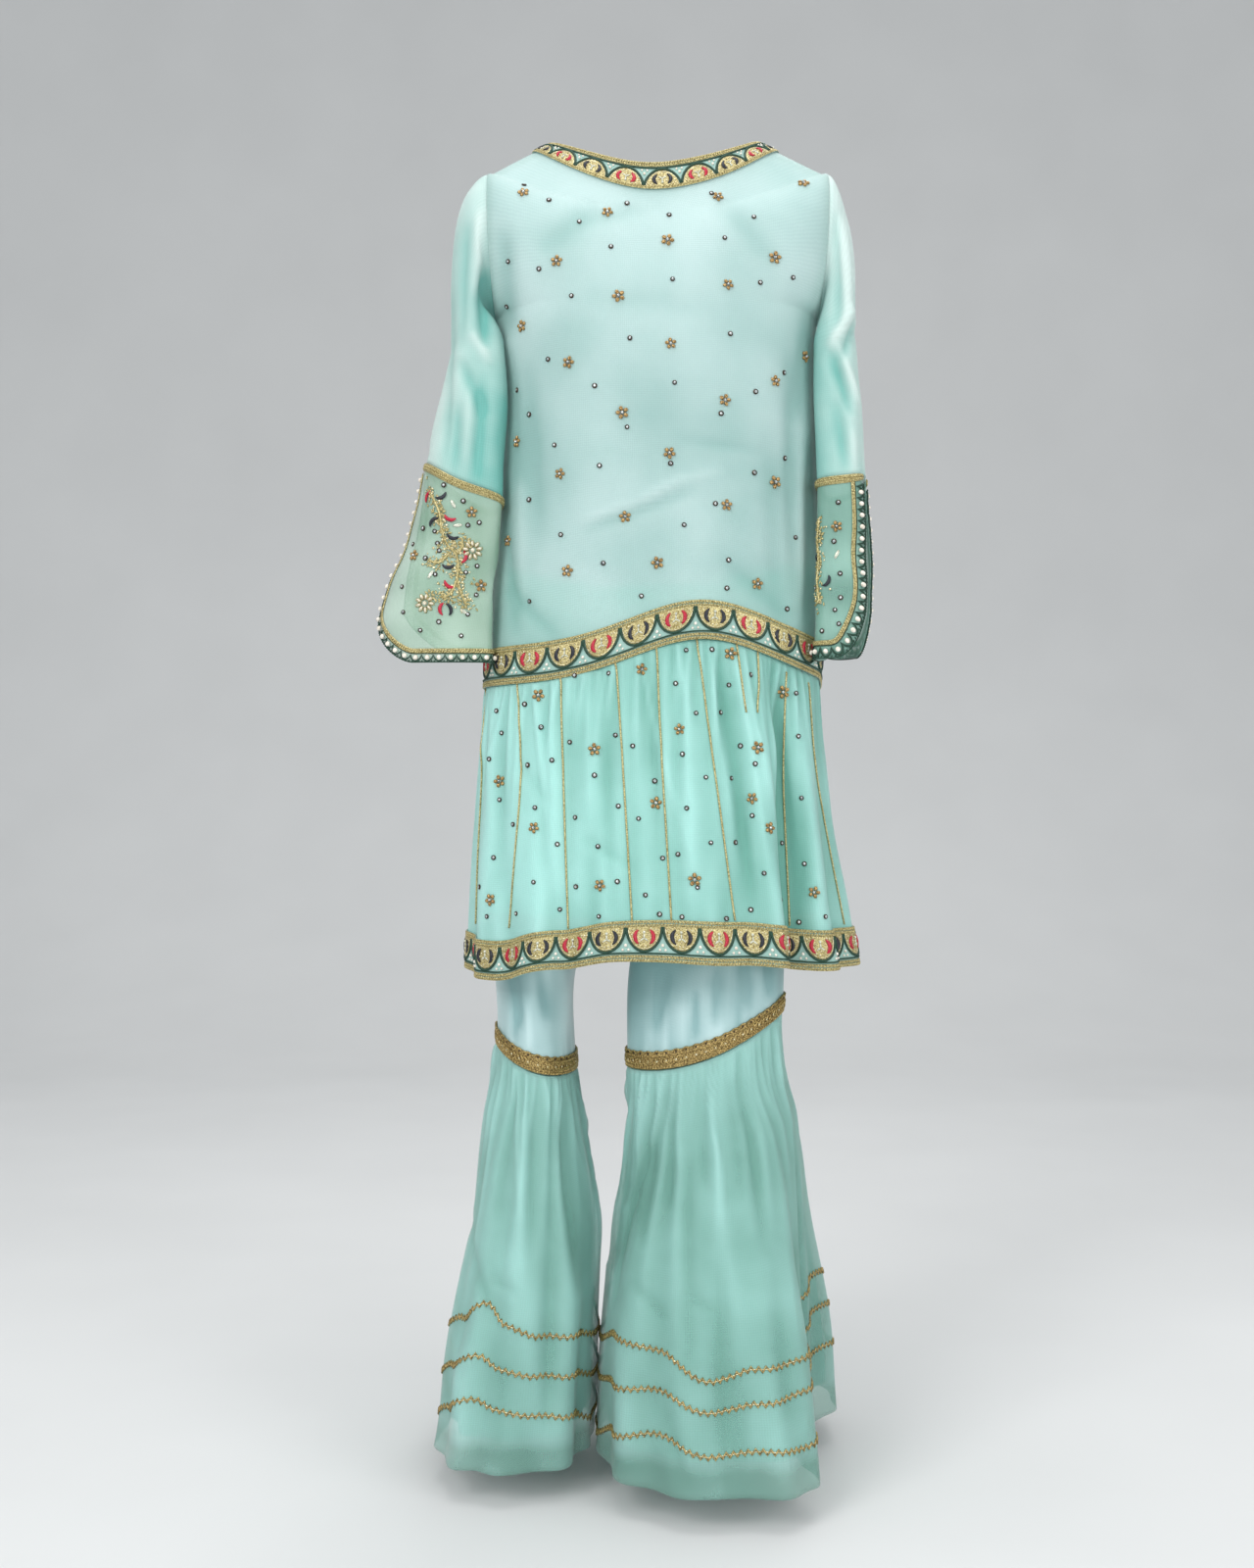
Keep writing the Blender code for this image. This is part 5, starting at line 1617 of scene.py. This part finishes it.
for side, vines in VINES.items():
    panel = cuff_panels[side]
    shapes, beaded = [], []
    for stops in vines:
        row, column = seen_at(panel, rounded_line(stops, 0.003))
        shapes += couched(panel, row, column, 0.0018)
        beaded.append(np.stack((row, column)))
    rng = np.random.default_rng(71)
    line = np.concatenate(beaded, axis=1)
    chosen = line[:, rng.integers(0, line.shape[1], VINE_BEADS[side])]
    chosen = chosen + rng.normal(0, 1, chosen.shape) * VINE_SPREAD
    count = chosen.shape[1] // 2
    shapes.append(finished(laid(raised(sequin, 0.0005), panel, *chosen[:, :count],
                                rng.uniform(0, 6, count), rng.uniform(0.8, 1.5, count)), 1))
    shapes.append(laid(raised(leaf_bead, 0.0002), panel, *chosen[:, count:],
                       rng.uniform(0, 6, chosen.shape[1] - count), 0.9))
    if RED_MARKS[side]:
        shapes.append(marked(raised(crescent, 0.0008), panel, RED_MARKS[side], 2))
        shapes.append(scattered(kundan_flower, panel, KUNDAN_FLOWERS[side], 72))
    shapes.append(marked(raised(crescent, 0.0008), panel, BLACK_MARKS[side], 3))
    shapes.append(marked(silver_leaf, panel, SILVER_LEAVES[side], 6))
    shapes.append(scattered(gilt_flower, panel, GILT_FLOWERS[side], 73))
    vine = make_trim("cuff_" + side + "_vine", shapes,
                     [zari, gilt_sequins, red_satin, black_satin, glass_pearl, kundan, silver_thread])
    own_piece(vine, "zari_border")
    jewels = jewelled("cuff_" + side, panel, CUFF_FLOWERS[side], CUFF_STONES[side], 74)
    cloth, *trims = cuff_pieces[side]

# ---- Waistband and trouser legs ------------------------------------------------------------
# Fitted to the knee, in smooth pale satin with one inner seam each. The waistband is a casing
# drawn in on elastic. Above the knee the satin is caught up in short wrinkles.

CROTCH_DROP = 0.720
WAISTBAND_TOP = 0.500
WAISTBAND_HEIGHT = 0.038
WAISTBAND_HALF_WIDTH = 0.154
WAISTBAND_HALF_DEPTH = 0.088
WAISTBAND_COLUMNS, WAISTBAND_ROWS = 168, 7
WAISTBAND_ROUNDNESS = 0.95
PUCKERS, PUCKER_DEPTH = 56, 0.0008
INSEAM_ANGLE = 0.15
CENTRE_GAP = 0.0010
LACE_HEIGHT = 0.019
FLARE_HEM_DROP = 1.425
GATHER_START = 1.03
LEG_TOP_DROP = WAISTBAND_TOP + WAISTBAND_HEIGHT + SEAM_GAP
KNEE_SEAM_DROP = {"left": 1.002, "right": 0.962}
KNEE_SEAM_FALL = {"left": 0.030, "right": 0.060}
LEG_COLUMNS, LEG_ROWS, LACE_ROWS = 80, 54, 7
LEG_WRINKLES, WRINKLE_DEPTH, WRINKLE_REACH = 30, 0.0020, 0.034
LEG_SWELL = 0.0014
# depths of wrinkle and pull that deepen the tone by one, as painted shade; painted shade all over the
# right leg
WRINKLE_SHADE, PULL_SHADE = 0.0018, 0.0026
LEG_SHADE = {"left": 0.0, "right": 0.4}
LEG = "drop middle_x middle_y half_width half_depth round*"
LEG_RINGS = {
    "left": table(
        LEG,
        (500, -10, 0, 144, 88, 0.95),
        (600, -35, 0, 130, 93, 0.97),
        (680, -70, 0, 98, 94, 1),
        (720, -86, 0, 84, 92, 1),
        (820, -113, 1, 63, 88, 1),
        (920, -132.5, 1, 44.5, 84, 1),
        (1017, -133, -1, 44, 83, 1),
        (1080, -135, -4, 53.5, 100, 0.94),
        (1200, -133, -11, 70.5, 122, 0.84),
        (1320, -145, -17, 81, 139, 0.78),
        (1440, -155, -22, 86, 149, 0.75),
    ),
    "right": table(
        LEG,
        (500, 10, 0, 144, 88, 0.95),
        (600, 35, 0, 130, 93, 0.97),
        (680, 66, -5, 100, 94, 1),
        (720, 78, -10, 77.5, 92, 1),
        (820, 70, -30, 79, 68, 1),
        (920, 56, -48, 85, 56, 1),
        (1020, 54.5, -54, 85, 60, 0.98),
        (1080, 66, -46, 95, 84, 0.92),
        (1200, 68, -44, 115, 131, 0.84),
        (1320, 73, -46, 132, 167, 0.8),
        (1440, 76.5, -48, 141.5, 189, 0.78),
    ),
}
FLARE_FOLDS = {
    "left": table(
        FOLD,
        (0, 0), (18, -8), (38, 8), (58, -8), (78, 10), (98, -10), (120, 8), (140, -12), (160, 8),
        (178, -10), (198, 4), (216, -5), (235, 6), (252, -6), (268, 3), (285, -5), (305, 6), (325, -8),
        (343, 2),
    ),
    "right": table(
        FOLD,
        (0, -50), (22, 0), (42, 16), (60, 0), (76, 10), (94, -10), (112, 8), (130, -10), (150, 8),
        (168, -8), (186, 2), (204, -6), (222, 6), (238, -6), (255, 4), (270, -3), (285, 5), (302, -6),
        (324, -52), (345, -74),
    ),
}


def leg_point(leg, angle, drop, slack=0.0):
    """Points on the outer face of a leg or flare, or further in by the slack."""
    angle, drop = np.broadcast_arrays(angle, drop)
    rings = LEG_RINGS[leg]
    roundness = smooth(rings, "drop", "round", drop)
    width = smooth(rings, "drop", "half_width", drop) - slack
    depth = smooth(rings, "drop", "half_depth", drop) - slack
    across, through = cos_deg(angle), sin_deg(angle)
    flare = np.maximum(0.0, (drop - GATHER_START) / (FLARE_HEM_DROP - GATHER_START))
    fold = around(FLARE_FOLDS[leg], "out", angle) * flare
    x = smooth(rings, "drop", "middle_x", drop) + width * signed_power(across, roundness)
    y = smooth(rings, "drop", "middle_y", drop) + depth * signed_power(through, roundness)
    return points_of(x + fold * across, y + fold * through, -drop)


def knee_drop(leg, angle):
    """Drop of the knee seam, which rises towards the outer side of the leg."""
    outer = 0.5 + 0.5 * cos_deg(angle) * SIDE_SIGN[leg]
    return KNEE_SEAM_DROP[leg] + KNEE_SEAM_FALL[leg] * (1 - outer ** 2)


def inseam_angles(leg, drop):
    """First and last angle of a leg's cloth; above the crotch it stops at the middle."""
    open_angle = INSEAM_ANGLE
    if drop < CROTCH_DROP:
        rings = LEG_RINGS[leg]
        reach = (abs(smooth(rings, "drop", "middle_x", drop)) - CENTRE_GAP) / smooth(
            rings, "drop", "half_width", drop)
        power = 1 / smooth(rings, "drop", "round", drop)
        open_angle = max(INSEAM_ANGLE, np.degrees(np.arccos(min(1.0, reach) ** power)))
    inner_side = 180.0 if leg == "right" else 0.0
    return inner_side + open_angle, inner_side + 360.0 - open_angle


def leg_row(leg, share, rise):
    """A row of a trouser leg, a share of the way down to a line above the knee seam."""
    inner_side = 180.0 if leg == "right" else 0.0
    inner_drop = LEG_TOP_DROP + (knee_drop(leg, inner_side) - rise - LEG_TOP_DROP) * share
    angle = np.linspace(*inseam_angles(leg, inner_drop), LEG_COLUMNS)
    seam = knee_drop(leg, angle) - rise - SEAM_GAP
    return leg_point(leg, angle, LEG_TOP_DROP + (seam - LEG_TOP_DROP) * share)


# polyester satin: a smooth warp-faced weave, with a soft broad shine
satin = woven_cloth("polyester_satin_woven", "C9E2E3", "86ACAD", roughness=0.36, sheen=0.2,
                    thread=0.0014, crinkle=0.00010, contrast=0.05)
# pulls that run up from the lace, and the dimples between them
LEG_CREASES = {
    "left": table(
        CREASE,
        (-160, 900, -146, 980, 6, 2.6), (-128, 900, -116, 975, 7, 3),
        (-150, 950, -155, 998, 4, 2.2), (-105, 870, -98, 990, 6, -2.2),
        (-138, 948, -136, 1004, 4, -1.8),
    ),
    "right": table(
        CREASE,
        (10, 910, -2, 985, 7, 3), (40, 930, 44, 992, 5, 2.6),
        (68, 900, 60, 975, 8, 2.8), (92, 890, 100, 960, 6, 2.6),
        (120, 860, 122, 950, 6, 3.6), (26, 945, 24, 995, 4, -1.8),
        (54, 930, 52, 985, 4, -1.8),
    ),
}

turns = np.linspace(0, 360, WAISTBAND_COLUMNS, endpoint=False)
drops = WAISTBAND_TOP + WAISTBAND_HEIGHT * np.linspace(0, 1, WAISTBAND_ROWS)
ring = points_of(WAISTBAND_HALF_WIDTH * signed_power(cos_deg(turns), WAISTBAND_ROUNDNESS),
                 WAISTBAND_HALF_DEPTH * signed_power(sin_deg(turns), WAISTBAND_ROUNDNESS),
                 -drops[:, None])
pucker = PUCKER_DEPTH * sin_deg(turns * PUCKERS + np.degrees(2 * sin_deg(turns * 5)))[None, :]
pucker = pucker * np.sin(np.linspace(0, pi, WAISTBAND_ROWS))[:, None] - PUCKER_DEPTH / 2
waistband = make_cloth("waistband_satin", moved_out(ring, pucker, closed=True), satin, closed=True)
own_piece(waistband, "pale_aqua_satin", "waistband")

leg_panels, leg_cloths = {}, {}
for leg in ("left", "right"):
    base = [leg_row(leg, share, LACE_HEIGHT) for share in np.linspace(0, 1, LEG_ROWS)]
    base += [leg_row(leg, 1.0, rise) for rise in np.linspace(LACE_HEIGHT, 0, LACE_ROWS)[1:]]
    base = np.array(base)
    wrinkles = gathered(base[::-1], LEG_WRINKLES, WRINKLE_DEPTH, WRINKLE_REACH, 81)[::-1]
    folds = creased(base, LEG_CREASES[leg])
    swell = wander(base[..., 0] + base[..., 1], base[..., 2], 0.09, 82)
    rise_fade = np.clip(np.linspace(0, 8, len(base)), 0, 1)[:, None]
    low_fade = np.clip((len(base) - 1 - np.arange(len(base))) / (LACE_ROWS + 2), 0, 1)[:, None]
    relief = (wrinkles + folds + LEG_SWELL * swell) * end_fade(LEG_COLUMNS, 12)
    leg_panels[leg] = moved_out(base, relief * rise_fade * low_fade)
    # painted shade in wrinkles and pulls and over the right leg, painted light on the swells
    tone = -wrinkles / WRINKLE_SHADE - folds / PULL_SHADE - 0.6 * swell + LEG_SHADE[leg]
    piece = make_cloth("trouser_" + leg + "_satin", leg_panels[leg], satin, tone=tone)
    leg_cloths[leg] = own_piece(piece, "pale_aqua_satin", "trouser_" + leg)

# ---- Knee lace ------------------------------------------------------------------------------
# A scalloped gilt lace over the seam at each knee: a bobbin-made band of looped cord on a gilt
# tape, with small sequins in its loops and an arched cord along its top edge.

# lacquered gilt thread; its brown tone lies in the low spots of its relief, as painted shade between
# the loops
gilt_lace = grained("gilt_lace_thread_wrapped", "CFB474", "5F4C24", 0.0016, Metallic=0.45,
                    Roughness=0.42)

LACE_PITCH = 0.011
LACE_MIDDLE, LACE_SWING = 0.0085, 0.0038
LACE_TOP, LACE_ARCH = 0.0150, 0.0042
for leg, points in leg_panels.items():
    band = band_on(points[-LACE_ROWS:], LACE_HEIGHT)
    length = band.run[-1]
    tape = make_cloth("knee_lace_" + leg + "_band", band.panel.points, gilt_lace, wall=BORDER_WALL)
    own_piece(tape, "gold_braid", "knee_lace_" + leg)
    line = np.linspace(0, length, int(length / 0.0018))
    wave = LACE_SWING * np.sin(2 * pi * line / LACE_PITCH)
    waves = [cord_on(band, line, LACE_MIDDLE + side * wave, 0.0011, 0, 4) for side in (-1, 1)]
    along = np.arange(LACE_PITCH / 2, length, LACE_PITCH)
    scallop = LACE_TOP + LACE_ARCH * np.abs(np.sin(pi * line / LACE_PITCH)) ** 0.6
    shapes = waves + [
        cord_on(band, line, scallop, 0.0010, 0, 4),
        sewn(raised(sequin, 0.0004), band, along, 0.0165, size=1.1, finish=2),
        sewn(raised(sequin, 0.0006), band, along, LACE_MIDDLE, size=1.4, finish=1),
        sewn(raised(sequin, 0.0006), band, along - LACE_PITCH / 2, LACE_MIDDLE, size=1.1, finish=2),
    ]
    for place, turn in ((0.0014, 0.6), (0.0034, -0.6), (0.0136, 0.6)):
        shapes.append(sewn(knot, band, np.arange(0.001, length, 0.0034), place, turn, 0.9, finish=0))
    loops = make_trim("knee_lace_" + leg + "_loops", shapes, [gilt_lace, gilt_sequins, oxidised_cup])
    own_piece(loops, "gold_braid")

# ---- Flares and their linings ----------------------------------------------------------------
# Wide lengths of sheer chiffon gathered under the lace and left open at the hem, over a lining
# that ends a little higher. Three rows of gilt zigzag braid run round each flare.

KNEE_GAP = 0.0008
FLARE_COLUMNS, FLARE_ROWS = 200, 64
FLARE_LINING_COLUMNS, FLARE_LINING_ROWS = 100, 32
FLARE_LINING_END = 0.925
FLARE_LINING_SLACK = (0.0040, 0.0100)
FLARE_GATHERS = {"left": 44, "right": 58}
FLARE_GATHER_DEPTH, FLARE_GATHER_REACH = 0.0040, 0.150
FLARE_RIPPLE = 0.0024
# depths of gather, crease and large fold that change the tone by one, as painted light and shade;
# painted shade down the right flare
FLARE_SHADES = {"gather": 0.0062, "crease": 0.0080, "large": 0.050}
BELOW_LINING_SHADE, KNEE_PALENESS, RIGHT_FLARE_SHADE = 0.8, 0.4, 0.5
BRAID_STEPS = 2400
ZIGZAG_PITCH, ZIGZAG_REACH = 0.0076, 0.0030
BRAID = "angle* first second third"
# Drops of the three braids, by angle round each flare.
FLARE_BRAIDS = {
    "left": table(
        BRAID,
        (30, 1302, 1346, 1388), (90, 1310, 1352, 1394), (140, 1298, 1340, 1384),
        (182, 1309, 1359, 1402), (215, 1284, 1332, 1376), (243, 1259, 1311, 1354),
        (262, 1278, 1322, 1362), (279, 1290, 1329, 1368), (310, 1294, 1334, 1374),
        (345, 1308, 1350, 1396),
    ),
    "right": table(
        BRAID,
        (12, 1262, 1300, 1346), (35, 1278, 1314, 1354), (70, 1262, 1304, 1350),
        (110, 1286, 1330, 1376), (150, 1290, 1336, 1384), (183, 1313, 1352, 1412),
        (212, 1290, 1337, 1384), (243, 1292, 1329, 1371), (265, 1316, 1345, 1386),
        (277, 1304, 1336, 1380), (300, 1301, 1331, 1383), (330, 1290, 1326, 1372),
    ),
}
# Pulls and pockets down the front of each flare, with like ones behind.
FLARE_CREASES = {
    "left": table(
        CREASE,
        (-150, 1020, -172, 1180, 6, 4), (-128, 1030, -134, 1230, 7, 3.6),
        (-112, 1040, -108, 1200, 6, 5), (-104, 1060, -76, 1260, 8, 6),
        (-165, 1080, -196, 1280, 8, -3.4), (-140, 1060, -152, 1300, 10, -3),
        (-205, 1180, -176, 1270, 6, 3.4), (-178, 1232, -140, 1246, 5, 2.4),
        (-108, 1140, -112, 1400, 8, 4), (-214, 1300, -200, 1415, 9, -3.4),
        (-160, 1310, -168, 1418, 10, 3),
    ),
    "right": table(
        CREASE,
        (4, 1020, -20, 1200, 7, 5.8), (14, 1030, 10, 1160, 6, 4.6),
        (-6, 1090, -34, 1170, 8, 6), (-20, 1140, -50, 1240, 7, 6),
        (30, 1020, 30, 1330, 8, 3.6), (46, 1018, 52, 1140, 5, 4.4),
        (58, 1015, 70, 1250, 9, -3.4), (78, 1005, 88, 1150, 6, 4),
        (92, 998, 112, 1200, 7, 4.6), (64, 1160, 66, 1410, 8, 4),
        (30, 1235, 60, 1250, 5, 2.4), (-30, 1230, 10, 1262, 6, 3),
        (-40, 1260, -36, 1410, 9, -3.6), (120, 1060, 134, 1400, 10, 3.4),
        (6, 1340, 26, 1418, 8, 3), (98, 1330, 88, 1418, 9, -3),
    ),
}


def flare_grid(leg, shares, columns, slack=0.0):
    """A flare from the knee seam to the hem, all round the leg."""
    angle = np.linspace(0, 360, columns, endpoint=False)[None, :]
    seam = knee_drop(leg, angle) + KNEE_GAP
    drop = seam + (FLARE_HEM_DROP - seam) * np.asarray(shares)[:, None]
    slack = np.broadcast_to(slack, np.shape(shares))[:, None]
    return leg_point(leg, angle, drop, slack)


# the flares' chiffon: the same weave, a little sheerer
flare_chiffon = woven_cloth("flare_chiffon_woven", "BFEFE9", "7AAD9F", alpha=0.46, roughness=0.70)
# their lining, crepe dyed to the chiffon's shade
flare_crepe = woven_cloth("flare_lining_crepe_woven", "ACE4DC", "88CBC1", roughness=0.7, sheen=0.15)

for leg in ("left", "right"):
    shares = np.linspace(0, 1, FLARE_ROWS)
    base = flare_grid(leg, shares, FLARE_COLUMNS)
    gathers = gathered(base, FLARE_GATHERS[leg], FLARE_GATHER_DEPTH, FLARE_GATHER_REACH,
                       91 if leg == "left" else 92, closed=True)
    ripple = wander(base[..., 0] + base[..., 1], base[..., 2] * 0.25, 0.050, 93) * shares[:, None]
    folds = creased(base, FLARE_CREASES[leg]) * np.clip(shares * 12, 0, 1)[:, None]
    relief = gathers + FLARE_RIPPLE * ripple + folds
    points = moved_out(base, relief, closed=True)
    turns = np.linspace(0, 360, FLARE_COLUMNS, endpoint=False)
    large = around(FLARE_FOLDS[leg], "out", turns)[None, :] * shares[:, None]
    # painted shade in gathers, creases and inward folds and down the right flare, painted light on
    # ripples and outward folds; deeper below the lining's end and paler near the knee
    tone = (-gathers / FLARE_SHADES["gather"] - 0.30 * ripple - folds / FLARE_SHADES["crease"]
            - large / FLARE_SHADES["large"]
            + BELOW_LINING_SHADE * np.clip((shares[:, None] - FLARE_LINING_END) * 40, 0, 1)
            - KNEE_PALENESS * np.clip(1 - shares[:, None] * 4, 0, 1))
    if leg == "right":
        tone = tone + RIGHT_FLARE_SHADE * shares[:, None] ** 0.5
    flare = own_piece(make_cloth("flare_" + leg + "_chiffon", points, flare_chiffon, closed=True,
                                 tone=tone), "aqua_chiffon", "flare_" + leg)
    shares = np.linspace(0, FLARE_LINING_END, FLARE_LINING_ROWS)
    near, far = FLARE_LINING_SLACK
    slack = near + (far - near) * shares / FLARE_LINING_END
    row = shares[:, None] * (FLARE_ROWS - 1)
    column = np.linspace(0, FLARE_COLUMNS, FLARE_LINING_COLUMNS, endpoint=False)[None, :]
    hollows = np.minimum(sample(relief[..., None], row, column, True)[..., 0], 0.0)
    inner = moved_out(flare_grid(leg, shares, FLARE_LINING_COLUMNS, slack), hollows, closed=True)
    lining = own_piece(make_cloth("flare_" + leg + "_crepe", inner, flare_crepe, closed=True,
                                  wall=LINING_WALL), "pale_crepe_lining", "flare_lining_" + leg)
    panel = panel_of(points, closed=True)
    turns = np.linspace(0, 360, BRAID_STEPS, endpoint=False)
    column = turns / 360 * FLARE_COLUMNS
    shapes = []
    for name in ("first", "second", "third"):
        seam = knee_drop(leg, turns) + KNEE_GAP
        drop = around(FLARE_BRAIDS[leg], name, turns)
        row = (drop - seam) / (FLARE_HEM_DROP - seam) * (FLARE_ROWS - 1)
        line = on_cloth(panel, row, column)
        run = run_of(line)
        steps = np.arange(0, run[-1], ZIGZAG_PITCH / 4)
        row_at, column_at = np.interp(steps, run, row), np.interp(steps, run, column)
        height = (FLARE_HEM_DROP - np.interp(steps, run, seam)) / (FLARE_ROWS - 1)
        swing = ZIGZAG_REACH * np.sin(2 * pi * steps / ZIGZAG_PITCH) / height
        shapes.append(corded(panel, row_at + swing, column_at, 0.00100, 0, 4))
        shapes.append(corded(panel, row_at[::2], column_at[::2], 0.00070, 1, 4))
    braids = own_piece(make_trim("flare_" + leg + "_zigzag_braids", shapes, [gilt_lace, gilt_sequins]),
                       "gold_braid")
